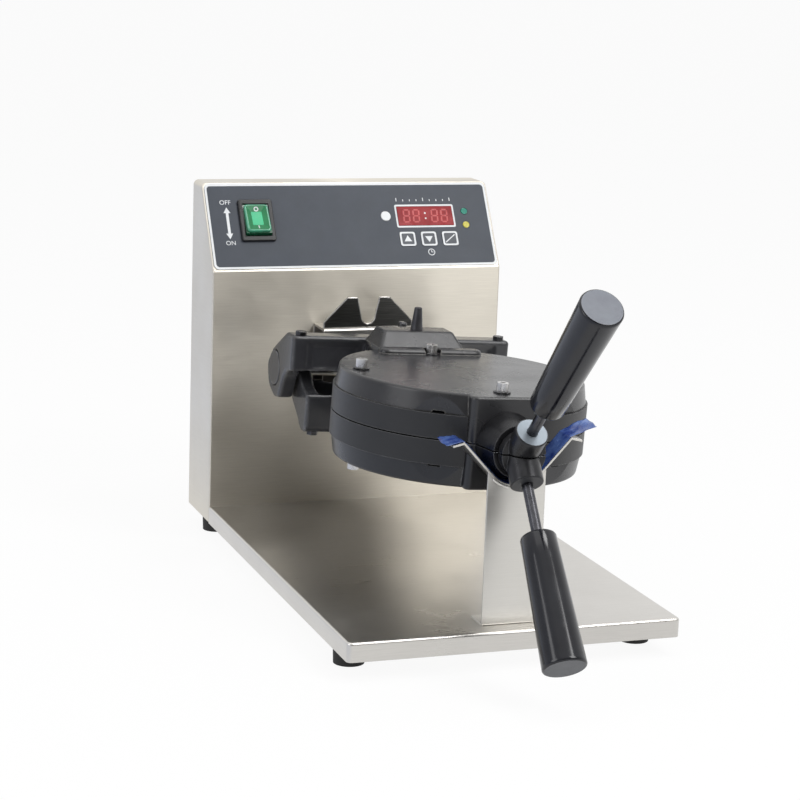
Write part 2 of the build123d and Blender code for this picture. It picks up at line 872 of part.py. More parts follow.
rocker_plane = Plane(
    origin=panel.from_local_coords((switch_x, switch_rise, -rocker_pivot_drop)),
    x_dir=(1, 0, 0),
    z_dir=panel.z_dir,
)
rocker_pocket_length = 2 * (rocker_half_length + rocker_gap)
rocker_pocket_width = rocker_width + 2 * rocker_side_gap
rocker_room_below = rocker_pivot_drop + rocker_base_drop + rocker_swing_room
rocker_pocket_depth = overlay_thickness + bezel_height + rocker_room_below
with BuildPart() as switch_housing:
    with BuildSketch(panel.offset(overlay_thickness)):
        with Locations((switch_x, switch_rise)):
            RectangleRounded(bezel_width, bezel_length, bezel_corner)
    extrude(amount=bezel_height)
    fillet(faces().sort_by(Axis(panel.origin, panel.z_dir))[-1].edges(), bezel_edge)
    with BuildSketch(panel.offset(overlay_thickness)):
        with Locations((switch_x, switch_rise)):
            Rectangle(switch_body_width, switch_body_length)
    extrude(amount=-switch_body_depth)
    with BuildSketch(panel.offset(overlay_thickness + bezel_height)):
        with Locations((switch_x, switch_rise)):
            Rectangle(rocker_pocket_width, rocker_pocket_length)
    extrude(amount=-rocker_pocket_depth, mode=Mode.SUBTRACT)
    with BuildSketch(Plane(origin=rocker_plane.origin, x_dir=panel.y_dir, z_dir=(1, 0, 0))):
        Circle(trunnion_radius + running_fit)
    extrude(amount=rocker_pocket_width / 2 + trunnion_length, both=True, mode=Mode.SUBTRACT)
finish(switch_housing, "switch_housing")

rocker_side = Plane(
    origin=rocker_plane.origin,
    x_dir=panel.y_dir * cos(radians(rocker_tilt)) - panel.z_dir * sin(radians(rocker_tilt)),
    z_dir=(1, 0, 0),
)
with BuildPart() as power_rocker:
    with BuildSketch(rocker_side):
        with BuildLine():
            Polyline(
                (-rocker_half_length, 0),
                (-rocker_half_length, rocker_rise),
                (0, rocker_valley),
                (rocker_half_length, rocker_rise),
                (rocker_half_length, 0),
                (rocker_base_half_length, -rocker_base_drop),
                (-rocker_base_half_length, -rocker_base_drop),
                close=True,
            )
        make_face()
    extrude(amount=rocker_width / 2, both=True)
    with BuildSketch(rocker_side):
        Circle(trunnion_radius)
    extrude(amount=rocker_pocket_width / 2 + trunnion_length - running_fit, both=True)
finish(power_rocker, "power_rocker")

with BuildPart() as display_window:
    with BuildSketch(panel.offset(-board_drop + module_depth)):
        with Locations((window_x, window_rise)):
            Rectangle(window_width, window_height)
    extrude(amount=board_drop - module_depth + overlay_thickness + window_proud)
finish(display_window, "display_window")

with BuildPart() as display_module:
    with BuildSketch(panel.offset(-board_drop)):
        with Locations((window_x, window_rise)):
            Rectangle(window_width, window_height)
    extrude(amount=module_depth)
finish(display_module, "display_module")

with BuildPart() as timer_board:
    with BuildSketch(panel.offset(-board_drop)):
        with Locations((board_x, board_rise)):
            Rectangle(board_width, board_height)
    extrude(amount=-board_thickness)
    with BuildSketch(panel.offset(-board_drop)):
        for key_x in key_xs.values():
            with Locations((key_x, key_rise)):
                Rectangle(tact_size, tact_size)
    extrude(amount=board_drop - sheet - key_flange - face_gap - key_travel - face_gap)
finish(timer_board, "timer_board")

with BuildPart() as board_spacers:
    with BuildSketch(panel.offset(-board_drop)):
        with Locations(*board_corners):
            Circle(spacer_radius)
    extrude(amount=board_drop - sheet)
finish(board_spacers, "board_spacers")

for key_name, key_x in key_xs.items():
    with BuildPart() as key:
        with BuildSketch(panel.offset(-sheet - face_gap)):
            with Locations((key_x, key_rise)):
                RectangleRounded(key_width, key_height, key_corner)
        extrude(amount=sheet + face_gap + overlay_thickness + key_proud)
        with BuildSketch(panel.offset(-sheet - face_gap)):
            with Locations((key_x, key_rise)):
                Rectangle(key_width + 2 * key_flange_margin, key_height + 2 * key_flange_margin)
        extrude(amount=-key_flange)
    finish(key, key_name)

for lamp_name, (lamp_x, lamp_rise, lamp_radius) in lamps.items():
    with BuildPart() as lamp:
        with BuildSketch(panel.offset(-board_drop)):
            with Locations((lamp_x, lamp_rise)):
                Circle(lamp_radius)
        extrude(amount=board_drop + overlay_thickness + lamp_proud)
        fillet(faces().sort_by(Axis(panel.origin, panel.z_dir))[-1].edges(), lamp_proud)
    finish(lamp, lamp_name)

# Electrical parts that stand on the tower floor
floor_plane = Plane.XY.offset(deck)
inside_y = tower_front + tower_depth / 2
terminal_pitch = terminal_width / terminal_columns
with BuildPart() as terminal_block:
    with BuildSketch(floor_plane):
        with Locations((terminal_block_x, inside_y)):
            Rectangle(terminal_width, terminal_depth)
    extrude(amount=terminal_height)
    with BuildSketch(floor_plane.offset(terminal_height)):
        with Locations((terminal_block_x, inside_y)):
            with GridLocations(terminal_pitch, terminal_depth / 2, terminal_columns, 2):
                Circle(screw_radius)
    extrude(amount=-terminal_height / 2, mode=Mode.SUBTRACT)
finish(terminal_block, "terminal_block")

with BuildPart() as power_relay:
    with BuildSketch(floor_plane):
        with Locations((relay_x, inside_y)):
            RectangleRounded(relay_width, relay_depth, relay_corner)
    extrude(amount=relay_height)
finish(power_relay, "power_relay")

# Turning shaft, its collar with the stop finger, and its nut
shaft_axis = front_of(upper)
shaft_front = hinge_y + yoke_back - shaft_socket
shaft_end = tower_front + sheet + shaft_tail


def shaft_plane(y):
    """The plane across the shaft at a depth, facing the front."""
    return shaft_axis.offset(iron_y - y)


with BuildPart() as pivot_shaft:
    with BuildSketch(shaft_plane(shaft_front)):
        Circle(shaft_radius)
        Circle(shaft_bore, mode=Mode.SUBTRACT)
    extrude(amount=-(shaft_end - shaft_front))
finish(pivot_shaft, "pivot_shaft")

collar_y = bracket_front + bracket_sheet + collar_back
with BuildPart() as stop_collar:
    with BuildSketch(shaft_plane(collar_y)):
        Circle(collar_radius)
        with Locations((0, 0)):
            Rectangle(finger_reach, 2 * finger_half_height, align=(Align.MIN, Align.CENTER))
        Circle(shaft_radius + thread_fit, mode=Mode.SUBTRACT)
    extrude(amount=-collar_width)
finish(stop_collar, "stop_collar")

with BuildPart() as shaft_nut:
    with BuildSketch(shaft_plane(tower_front + sheet + bush_overhang + face_gap)):
        RegularPolygon(nut_radius, 6)
        Circle(shaft_radius + thread_fit, mode=Mode.SUBTRACT)
    extrude(amount=-nut_width)
finish(shaft_nut, "shaft_nut")

# Yoke between shaft and hinge pin
with BuildPart() as hinge_yoke:
    with BuildSketch(side_of(upper)):
        with BuildLine():
            Polyline(
                (-yoke_front, -yoke_half_height),
                (-yoke_front, yoke_half_height),
                (yoke_back, yoke_half_height),
                (yoke_back, -yoke_half_height),
                close=True,
            )
        make_face()
        fillet(vertices().group_by(Axis.X)[0], yoke_nose_radius)
        Circle(hinge_pin_radius + thread_fit, mode=Mode.SUBTRACT)
    extrude(amount=yoke_half_width, both=True)
    with BuildSketch(shaft_plane(shaft_front)):
        Circle(shaft_radius + thread_fit)
    extrude(amount=-shaft_socket, mode=Mode.SUBTRACT)
finish(hinge_yoke, "hinge_yoke")

pin_half_length = casting_half_width - cap_thickness - part_gap
with BuildPart() as hinge_pin:
    with BuildSketch(side_of(upper)):
        Circle(hinge_pin_radius)
    extrude(amount=pin_half_length, both=True)
finish(hinge_pin, "hinge_pin")

# Upper hinge casting, the outer fork of the hinge
hinge_side = side_of(upper)
casting_inside = -casting_front + casting_wall
with BuildPart() as upper_hinge_casting:
    with BuildSketch(hinge_side):
        with BuildLine():
            FilletPolyline(*upper_cheek_outline, radius=upper_cheek_bends, close=True)
        make_face()
    extrude(amount=casting_half_width, both=True)
    side_rims = faces().filter_by(Axis(hinge_side.origin, hinge_side.z_dir)).edges()
    fillet(side_rims, casting_edge)
    with BuildSketch(hinge_side):
        with BuildLine():
            Polyline(
                (casting_inside, -casting_front),
                (casting_inside, casting_top - casting_wall),
                *upper_roof_inside,
                (casting_front, upper_roof_inside[-1][1]),
                (casting_front, -casting_front),
                close=True,
            )
        make_face()
    extrude(amount=cheek_inner, both=True, mode=Mode.SUBTRACT)
    with BuildSketch(hinge_side):
        with Locations((-casting_slot_start, 0)):
            Rectangle(slot_reach, 2 * casting_top, align=(Align.MIN, Align.CENTER))
    extrude(amount=casting_slot_half_width, both=True, mode=Mode.SUBTRACT)
    with BuildSketch(hinge_side):
        with Locations((-casting_front, casting_top - casting_rim)):
            Rectangle(casting_recess, 2 * casting_front, align=(Align.MIN, Align.MAX))
    extrude(amount=cheek_inner, both=True, mode=Mode.SUBTRACT)
    with BuildSketch(hinge_side):
        with Locations((-casting_front, casting_top - casting_rim)):
            Rectangle(casting_recess, casting_wall_height, align=(Align.MIN, Align.MAX))
    extrude(amount=arm_half_width, both=True)
    for side in (-1, 1):
        with BuildSketch(hinge_side.offset(side * casting_window_inner)):
            with Locations((-casting_front, casting_window_low)):
                Rectangle(casting_window_depth, casting_window_high - casting_window_low, align=Align.MIN)
        extrude(amount=side * (casting_window_outer - casting_window_inner), mode=Mode.SUBTRACT)
    with BuildSketch(hinge_side):
        Circle(hinge_pin_radius + running_fit)
    extrude(amount=casting_half_width, both=True, mode=Mode.SUBTRACT)
    for side in (-1, 1):
        with BuildSketch(hinge_side.offset(side * casting_half_width)):
            Circle(cap_radius + cap_gap)
        extrude(amount=-side * cap_thickness, mode=Mode.SUBTRACT)
    with BuildSketch(upper.offset(casting_top)):
        with Locations(*[(s * casting_screw_x, hinge_distance - casting_screw_back) for s in (-1, 1)]):
            Circle(screw_radius + thread_fit)
    extrude(amount=-casting_screw_depth, mode=Mode.SUBTRACT)
    with BuildSketch(upper.offset(casting_top)):
        with Locations((0, hinge_distance - casting_front + lug_set_back)):
            Rectangle(2 * lug_half_width, lug_length, align=(Align.CENTER, Align.MIN))
    extrude(amount=lug_rise)
finish(upper_hinge_casting, "upper_hinge_casting")

with BuildPart() as hinge_caps:
    for side in (-1, 1):
        with BuildSketch(hinge_side.offset(side * (casting_half_width - cap_thickness))):
            Circle(cap_radius)
        extrude(amount=side * cap_thickness)
finish(hinge_caps, "hinge_caps")

# Lower hinge casting, between the cheeks of the upper one
lower_side = side_of(lower)
lower_inside = -lower_front + casting_wall
with BuildPart() as lower_hinge_casting:
    with BuildSketch(lower_side):
        with BuildLine():
            FilletPolyline(*lower_cheek_outline, radius=lower_cheek_bends, close=True)
        make_face()
        Circle(knuckle_radius)
    extrude(amount=lower_half_width, both=True)
    with BuildSketch(lower_side):
        with BuildLine():
            Polyline(
                (lower_inside, -lower_front),
                (lower_inside, lower_casting_top - casting_wall),
                *lower_floor_inside,
                (lower_front, lower_floor_inside[-1][1]),
                (lower_front, -lower_front),
                close=True,
            )
        make_face()
    extrude(amount=lower_half_width - lower_cheek, both=True, mode=Mode.SUBTRACT)
    with BuildSketch(lower_side):
        Circle(hinge_pin_radius + thread_fit)
    extrude(amount=lower_half_width, both=True, mode=Mode.SUBTRACT)
    for side in (-1, 1):
        with BuildSketch(lower_side.offset(side * ledge_start)):
            with Locations((-ledge_front, ledge_drop)):
                Rectangle(ledge_depth, ledge_thickness)
        extrude(amount=-side * ledge_length)
    with BuildSketch(lower_side):
        with Locations((lower_inside, ledge_drop)):
            Circle(scoop_radius + scoop_wall)
            Circle(scoop_radius, mode=Mode.SUBTRACT)
            Rectangle(2 * scoop_radius, 2 * scoop_radius, align=Align.MIN, mode=Mode.INTERSECT)
    extrude(amount=lower_half_width - lower_cheek, both=True)
    with BuildSketch(lower_side):
        with Locations((-lower_slot_start, 0)):
            Rectangle(slot_reach, 2 * lower_casting_top, align=(Align.MIN, Align.CENTER))
    extrude(amount=casting_slot_half_width, both=True, mode=Mode.SUBTRACT)
    with BuildSketch(lower.offset(lower_casting_top)):
        with Locations(*[(s * lower_screw_x, hinge_distance - casting_screw_back) for s in (-1, 1)]):
            Circle(screw_radius + thread_fit)
    extrude(amount=-casting_screw_depth, mode=Mode.SUBTRACT)
    with BuildSketch(lower.offset(lower_casting_top)):
        with Locations((0, hinge_distance - lower_front + lower_lug_set_back)):
            Rectangle(2 * lug_half_width, lug_length, align=(Align.CENTER, Align.MIN))
    extrude(amount=lug_rise)
finish(lower_hinge_casting, "lower_hinge_casting")


# Pieces that each half of the iron has
box_opening = 2 * (box_half_width + sheet_fit)
gutter_end = 2 * (box_half_width + gutter_box_gap)
cover_screw_places = [
    (-cover_screw_reach, 0),
    (cover_screw_reach, 0),
    (0, -cover_screw_reach),
    (0, back_screw_reach),
]


def casting_screws(name, flat, screw_x):
    """Two hexagon screws on the flat of a hinge casting."""
    places = [(s * screw_x, hinge_distance - casting_screw_back) for s in (-1, 1)]
    with BuildPart() as screws:
        with BuildSketch(flat):
            with Locations(*places):
                RegularPolygon(hex_head_radius, 6)
        extrude(amount=hex_head_height)
        with BuildSketch(flat):
            with Locations(*places):
                Circle(screw_radius)
        extrude(amount=-casting_screw_depth)
    finish(screws, name)


def waffle_grid(name, half):
    """A round plate with a deep pocket full of tapered studs, and a gutter round the pocket."""
    pocket_floor = split_gap + pocket_depth
    box_back = box_front_reach - box_wall
    with BuildPart() as grid:
        with BuildSketch(half.offset(split_gap)):
            Circle(ring_radius)
            with Locations((0, -box_back)):
                Rectangle(box_opening, box_half_width, align=(Align.CENTER, Align.MAX), mode=Mode.SUBTRACT)
        extrude(amount=ring_height - split_gap)
        with BuildSketch(half.offset(split_gap)):
            Circle(pocket_radius)
        extrude(amount=pocket_depth, mode=Mode.SUBTRACT)
        with BuildSketch(half.offset(split_gap)):
            Circle(gutter_inner_radius + gutter_width)
            Circle(gutter_inner_radius, mode=Mode.SUBTRACT)
            with Locations((0, -box_back)):
                Rectangle(gutter_end, box_half_width, align=(Align.CENTER, Align.MAX), mode=Mode.SUBTRACT)
        extrude(amount=gutter_depth, mode=Mode.SUBTRACT)
        with BuildSketch(half.offset(pocket_floor)):
            with GridLocations(stud_pitch, stud_pitch, stud_rows, stud_rows) as grid_places:
                stud_spots = [spot for spot in grid_places.local_locations if fits_pocket(spot)]
            with Locations(*stud_spots):
                Rectangle(stud_width, stud_width)
        extrude(amount=-stud_height, taper=stud_taper)
        with BuildSketch(half.offset(ring_height)):
            with Locations(*cover_screw_places):
                Circle(screw_radius + thread_fit)
        extrude(amount=-cover_screw_grip, mode=Mode.SUBTRACT)
    finish(grid, name)


def fits_pocket(spot):
    """Whether a stud at a place lies clear of the pocket's wall."""
    reach = hypot(abs(spot.position.X) + stud_width / 2, abs(spot.position.Y) + stud_width / 2)
    return reach < pocket_radius - stud_wall_gap


def iron_cover(name, half, casting_reach):
    """The outer casting of a half: a hollow round cover with front box, rib, arm and bump."""
    cover_taper = degrees(atan((cover_base_radius - cover_top_radius) / cover_height))
    top = ring_height + cover_height
    arm_back = hinge_distance - casting_reach
    with BuildPart() as cover:
        with BuildSketch(half.offset(ring_height)):
            Circle(cover_base_radius)
        extrude(amount=cover_height, taper=cover_taper)
        with BuildSketch(half.offset(ring_height)):
            with BuildLine():
                Polyline(
                    (-facet_start, -facet_line(facet_start)),
                    (-facet_end, -facet_line(facet_end)),
                    (-facet_end, -2 * ring_radius),
                    (-facet_start, -2 * ring_radius),
                    close=True,
                )
            make_face()
            mirror(about=Plane.YZ)
        extrude(amount=cover_height, mode=Mode.SUBTRACT)
        with BuildSketch(half.offset(ring_height)):
            with Locations((0, -box_front_reach)):
                Rectangle(2 * box_half_width, 2 * box_cover_wall, align=(Align.CENTER, Align.MIN))
            fillet(vertices().group_by(Axis.Y)[0], box_corner)
        extrude(amount=cover_height)
        with BuildSketch(half.offset(ring_height)):
            with BuildLine():
                Polyline(
                    (-arm_root_half_width, arm_start),
                    (-arm_root_half_width, bump_top_front),
                    (-arm_half_width, arm_back),
                    (arm_half_width, arm_back),
                    (arm_root_half_width, bump_top_front),
                    (arm_root_half_width, arm_start),
                    close=True,
                )
            make_face()
        extrude(amount=cover_height)
        fillet(faces().sort_by(Axis(half.origin, half.z_dir))[-1].edges(), cover_edge)
        with BuildSketch(half.offset(ring_height)):
            Circle(cover_base_radius - cover_wall)
            with Locations((0, -box_front_reach)):
                Rectangle(
                    2 * ring_radius,
                    box_cover_wall,
                    align=(Align.CENTER, Align.MIN),
                    mode=Mode.SUBTRACT,
                )
        extrude(amount=cover_height - cover_wall, taper=cover_taper, mode=Mode.SUBTRACT)
        with BuildSketch(half.offset(split_gap)):
            with Locations((0, -box_front_reach)):
                Rectangle(2 * box_half_width, box_wall - sheet_fit, align=(Align.CENTER, Align.MIN))
            fillet(vertices().group_by(Axis.Y)[0], box_corner)
        extrude(amount=ring_height - split_gap)
        with BuildSketch(half.offset(top)):
            with Locations((0, rib_from_centre)):
                SlotOverall(2 * rib_half_length, rib_width)
        extrude(amount=rib_height)
        fillet(faces().sort_by(Axis(half.origin, half.z_dir))[-1].edges(), rib_edge)
        with BuildSketch(half.offset(top)):
            with Locations((0, back_screw_reach)):
                Circle(washer_radius + rib_screw_gap)
        extrude(amount=rib_height, mode=Mode.SUBTRACT)
        with BuildSketch(half.offset(top)):
            with Locations((0, (bump_base_front + bump_base_back) / 2)):
                Rectangle(2 * bump_base_half_width, bump_base_back - bump_base_front)
        with BuildSketch(half.offset(top + bump_rise)):
            with Locations((0, (bump_top_front + bump_top_back) / 2)):
                Rectangle(2 * bump_top_half_width, bump_top_back - bump_top_front)
        loft()
        bump_top = faces().sort_by(Axis(half.origin, half.z_dir))[-1]
        bump_corners = [edge for edge in edges() if touches(edge, bump_top.vertices())]
        fillet(bump_corners, bump_edge)
        with BuildSketch(half.offset(ring_height)):
            with Locations(*cover_screw_places):
                Circle(washer_radius)
        extrude(amount=cover_height - cover_wall)
        with BuildSketch(half.offset(top)):
            with Locations(*cover_screw_places):
                Circle(screw_radius + thread_fit)
        extrude(amount=-cover_height, mode=Mode.SUBTRACT)
        with BuildSketch(half.offset(ring_height)):
            with Locations((-pry_slot_x, -facet_line(pry_slot_x)), (pry_slot_x, -facet_line(pry_slot_x))):
                Rectangle(pry_slot_length, 2 * pry_slot_depth)
        extrude(amount=pry_slot_height, mode=Mode.SUBTRACT)
    finish(cover, name)


def touches(edge, corners):
    """Whether an edge ends at one of some corners."""
    return any(corner.distance_to(end) < thread_fit for corner in corners for end in edge.vertices())


def facet_line(x):
    """Depth of the flat side facet at a distance from the middle, a chord of the cover's foot."""
    start_y = (cover_base_radius**2 - facet_start**2) ** 0.5
    end_y = (cover_base_radius**2 - facet_end**2) ** 0.5
    return start_y + (end_y - start_y) * (x - facet_start) / (facet_end - facet_start)


def cover_screws(screw_name, washer_name, half):
    """Four socket head screws that hold a cover to its grid, and the washers under them."""
    top = ring_height + cover_height
    with BuildPart() as washers:
        with BuildSketch(half.offset(top)):
            with Locations(*cover_screw_places):
                Circle(washer_radius)
                Circle(screw_radius + thread_fit, mode=Mode.SUBTRACT)
        extrude(amount=washer_height)
    finish(washers, washer_name)
    with BuildPart() as screws:
        with BuildSketch(half.offset(top + washer_height)):
            with Locations(*cover_screw_places):
                Circle(screw_head_radius)
        extrude(amount=screw_head_height)
        with BuildSketch(half.offset(top + washer_height)):
            with Locations(*cover_screw_places):
                Circle(screw_radius)
        extrude(amount=-(washer_height + cover_height + cover_screw_grip - face_gap))
        with BuildSketch(half.offset(top + washer_height + screw_head_height)):
            with Locations(*cover_screw_places):
                RegularPolygon(socket_radius, 6)
        extrude(amount=-socket_depth, mode=Mode.SUBTRACT)
    finish(screws, screw_name)


def heating_element(name, half):
    """A sheathed heater bent to a ring on the back of a grid."""
    with BuildPart() as element:
        with BuildSketch(front_of(half)):
            with Locations((heater_ring_radius, ring_height + heater_tube_radius)):
                Circle(heater_tube_radius)
        revolve(axis=Axis(half.origin, half.z_dir), revolution_arc=heater_arc)
    finish(element, name)


def stop_peg(name, half):
    """The tapered peg on top of a bump."""
    foot = ring_height + cover_height + bump_rise
    with BuildPart(half.offset(foot)) as peg:
        with Locations((0, peg_from_centre)):
            Cone(peg_root_radius, peg_tip_radius, peg_length, align=(Align.CENTER, Align.CENTER, Align.MIN))
        fillet(edges().sort_by(Axis(half.origin, half.z_dir))[-1], peg_edge)
    finish(peg, name)


def handle_plane(half):
    """The plane of the barrel's end face, whose normal runs along the handle."""
    a = radians(handle_angle)
    end = half.origin + half.z_dir * barrel_end_rise + Vector(0, barrel_y - iron_y, 0)
    return Plane(origin=end, x_dir=half.x_dir, z_dir=Vector(0, -cos(a), 0) + half.z_dir * sin(a))


def hub_half(name, half):
    """Half of the front hub: tapered boss, groove, flange and a barrel that leans with the handle."""
    flat = half.offset(split_gap)
    end_face = handle_plane(half)
    boss_front = box_front_reach + hub_length
    groove_front = boss_front + groove_width
    flange_front = groove_front + flange_width
    barrel_length = barrel_end_rise / sin(radians(handle_angle)) + barrel_radius
    profile = Plane(origin=half.origin, x_dir=(0, -1, 0), z_dir=-half.x_dir)
    with BuildPart() as hub:
        with BuildSketch(profile):
            with BuildLine():
                Polyline(
                    (box_front_reach, 0),
                    (box_front_reach, hub_root_radius),
                    (boss_front, hub_nose_radius),
                    (boss_front, groove_radius),
                    (groove_front, groove_radius),
                    (groove_front, flange_radius),
                    (flange_front, flange_radius),
                    (flange_front, 0),
                    close=True,
                )
            make_face()
        revolve(axis=Axis(half.origin, (0, -1, 0)), revolution_arc=360)
        with BuildSketch(end_face):
            Circle(barrel_radius)
        extrude(amount=-barrel_length)
        split(bisect_by=flat, keep=Keep.TOP)
        circles = edges().filter_by(GeomType.CIRCLE)
        fillet(circles.sort_by(Axis(half.origin, end_face.z_dir))[-1], barrel_edge)
        with BuildSketch(end_face):
            Circle(rod_radius + thread_fit)
        extrude(amount=-rod_depth, mode=Mode.SUBTRACT)
    finish(hub, name)


def handle(rod_name, grip_name, half, start_of_grip):
    """The steel rod and the tapered grip on it."""
    rod_length = rod_depth + start_of_grip + grip_bore_depth
    start = handle_plane(half)
    with BuildPart(start.offset(-rod_depth)) as rod:
        Cylinder(rod_radius, rod_length, align=(Align.CENTER, Align.CENTER, Align.MIN))
    finish(rod, rod_name)
    with BuildPart(start.offset(start_of_grip)) as grip:
        grip_length = handle_length - start_of_grip
        Cone(
            grip_small_radius,
            grip_large_radius,
            grip_length,
            align=(Align.CENTER, Align.CENTER, Align.MIN),
        )
        ends = edges().filter_by(GeomType.CIRCLE).sort_by(Axis(start.origin, start.z_dir))
        fillet(ends[0], grip_small_edge)
        fillet(edges().filter_by(GeomType.CIRCLE).sort_by(Axis(start.origin, start.z_dir))[-1], grip_edge)
        Cylinder(
            rod_radius + thread_fit,
            grip_bore_depth,
            align=(Align.CENTER, Align.CENTER, Align.MIN),
            mode=Mode.SUBTRACT,
        )
    finish(grip, grip_name)


casting_screws("upper_casting_screws", upper.offset(casting_top), casting_screw_x)
casting_screws("lower_casting_screws", lower.offset(lower_casting_top), lower_screw_x)
halves = (("upper", upper, casting_front, grip_start), ("lower", lower, lower_front, lower_grip_start))
for half_name, half, casting_reach, start_of_grip in halves:
    waffle_grid(f"{half_name}_grid", half)
    iron_cover(f"{half_name}_cover", half, casting_reach)
    cover_screws(f"{half_name}_cover_screws", f"{half_name}_screw_washers", half)
    heating_element(f"{half_name}_heating_element", half)
    stop_peg(f"{half_name}_stop_peg", half)
    hub_half(f"{half_name}_hub", half)
    handle(f"{half_name}_handle_rod", f"{half_name}_grip", half, start_of_grip)

# Temperature sensor on the back of the lower grid
with BuildPart() as thermostat:
    with BuildSketch(lower.offset(ring_height)):
        Circle(thermostat_radius)
    extrude(amount=thermostat_height)
finish(thermostat, "thermostat")
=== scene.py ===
from math import atan2, cos, pi, radians, sin, tan

import bmesh
import bpy
from mathutils import Matrix, Vector


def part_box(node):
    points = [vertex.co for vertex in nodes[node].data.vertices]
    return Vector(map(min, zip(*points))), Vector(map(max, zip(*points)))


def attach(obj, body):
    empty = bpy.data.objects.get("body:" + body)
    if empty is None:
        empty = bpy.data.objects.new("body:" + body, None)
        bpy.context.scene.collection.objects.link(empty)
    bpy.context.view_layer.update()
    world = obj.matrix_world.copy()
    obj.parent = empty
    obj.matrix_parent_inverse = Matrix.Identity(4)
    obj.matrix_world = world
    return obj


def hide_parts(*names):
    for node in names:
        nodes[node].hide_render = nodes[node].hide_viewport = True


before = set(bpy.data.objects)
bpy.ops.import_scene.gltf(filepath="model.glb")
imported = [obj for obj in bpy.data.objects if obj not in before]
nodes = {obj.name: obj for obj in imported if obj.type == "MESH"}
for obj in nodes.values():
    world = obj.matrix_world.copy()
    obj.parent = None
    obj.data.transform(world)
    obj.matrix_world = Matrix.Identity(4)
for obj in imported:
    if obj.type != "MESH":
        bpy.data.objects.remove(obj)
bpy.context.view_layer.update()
scene = bpy.context.scene
mm = 0.001
rightward = Vector((1, 0, 0))
backward = Vector((0, 1, 0))

# Places on the model that the pieces below are set out from
tray_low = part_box("base_tray")[0]
tower_low, tower_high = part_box("tower_shell")
pin_low, pin_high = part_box("hinge_pin")
iron_roll = radians(3.09)
iron_right = Vector((cos(iron_roll), 0, -sin(iron_roll)))
iron_up = Vector((sin(iron_roll), 0, cos(iron_roll)))
hinge_reach = 180.9 * mm
iron_centre = (pin_low + pin_high) / 2 - hinge_reach * backward
handle_angle = radians(48.6)
handle_forward = -cos(handle_angle) * backward
handle_rise = sin(handle_angle) * iron_up
panel_tilt = radians(31.86)
panel_height = 82.6 * mm
panel_up = Vector((0, sin(panel_tilt), cos(panel_tilt)))
panel_out = Vector((0, -cos(panel_tilt), sin(panel_tilt)))
panel_fold = Vector((0, tower_low.y, tower_high.z - panel_height * cos(panel_tilt)))


def axes(origin, x_axis, y_axis):
    """A matrix that places something drawn in millimetres on a plane of the model."""
    z_axis = x_axis.cross(y_axis)
    turned_axes = Matrix((x_axis * mm, y_axis * mm, z_axis * mm)).transposed().to_4x4()
    return Matrix.Translation(origin) @ turned_axes


upper_half = axes(iron_centre, iron_right, backward)
lower_half = axes(iron_centre, -iron_right, backward)
panel = axes(panel_fold, rightward, panel_up)


# Node helpers
def add(tree, kind, inputs=None, **settings):
    """Add a node with its settings and its inputs, each a value or the socket that feeds it."""
    node = tree.nodes.new(kind)
    for name, value in settings.items():
        setattr(node, name, value)
    for name, value in (inputs or {}).items():
        if isinstance(value, bpy.types.NodeSocket):
            tree.links.new(value, node.inputs[name])
        elif node.inputs[name].type == "RGBA":
            node.inputs[name].default_value = (*value, 1)
        else:
            node.inputs[name].default_value = value
    return node


def maths(tree, operation, first, second=0.0):
    """One arithmetic step on two values."""
    return add(tree, "ShaderNodeMath", {0: first, 1: second}, operation=operation).outputs[0]


def vector_maths(tree, operation, first, second):
    """One arithmetic step on two vectors, as the outputs of its node."""
    return add(tree, "ShaderNodeVectorMath", {0: first, 1: second}, operation=operation).outputs


def split(tree, vector):
    """The three numbers of a vector."""
    return add(tree, "ShaderNodeSeparateXYZ", {0: vector}).outputs


def vector_of(tree, x=0.0, y=0.0, z=0.0):
    """A vector from three numbers."""
    return add(tree, "ShaderNodeCombineXYZ", {0: x, 1: y, 2: z}).outputs[0]


def coordinates(tree, kind):
    """Where a point lies on its object, or which way it faces."""
    return add(tree, "ShaderNodeTexCoord").outputs[kind]


def remap(tree, value, low, high, new_low, new_high):
    """Spread a value from one range onto another, held at its ends."""
    ranges = {"Value": value, 1: low, 2: high, 3: new_low, 4: new_high}
    return add(tree, "ShaderNodeMapRange", ranges).outputs[0]


def spread(tree, cloud, new_low=0.0, new_high=1.0, reach=0.2):
    """Spread a noise value, which lies within reach of one half, onto a new range."""
    return remap(tree, cloud, 0.5 - reach, 0.5 + reach, new_low, new_high)


def blend(tree, amount, first, second):
    """Mix two colours by a mask."""
    return add(tree, "ShaderNodeMix", {0: amount, 6: first, 7: second}, data_type="RGBA").outputs[2]


def noise(tree, vector, scale, detail, roughness=0.5):
    """A cloudy noise value."""
    inputs = {"Vector": vector, "Scale": scale, "Detail": detail, "Roughness": roughness}
    return add(tree, "ShaderNodeTexNoise", inputs).outputs["Fac"]


def effect(name, inputs, outputs):
    """An empty node group with its sockets."""
    tree = bpy.data.node_groups.new(name, "ShaderNodeTree")
    for label, value in inputs.items():
        socket = tree.interface.new_socket(label, in_out="INPUT", socket_type="NodeSocketFloat")
        socket.default_value = value
    for label, kind in outputs.items():
        tree.interface.new_socket(label, in_out="OUTPUT", socket_type=kind)
    return tree, tree.nodes.new("NodeGroupInput").outputs, tree.nodes.new("NodeGroupOutput").inputs


def use(tree, group, **inputs):
    """Place an effect in a material with its own values."""
    node = add(tree, "ShaderNodeGroup", node_tree=group)
    for name, value in inputs.items():
        node.inputs[name.replace("_", " ").title()].default_value = value
    return node.outputs


# Effects that several finishes share
facing_share = 0.7  # a face looks along an axis where this much of its normal lies along it


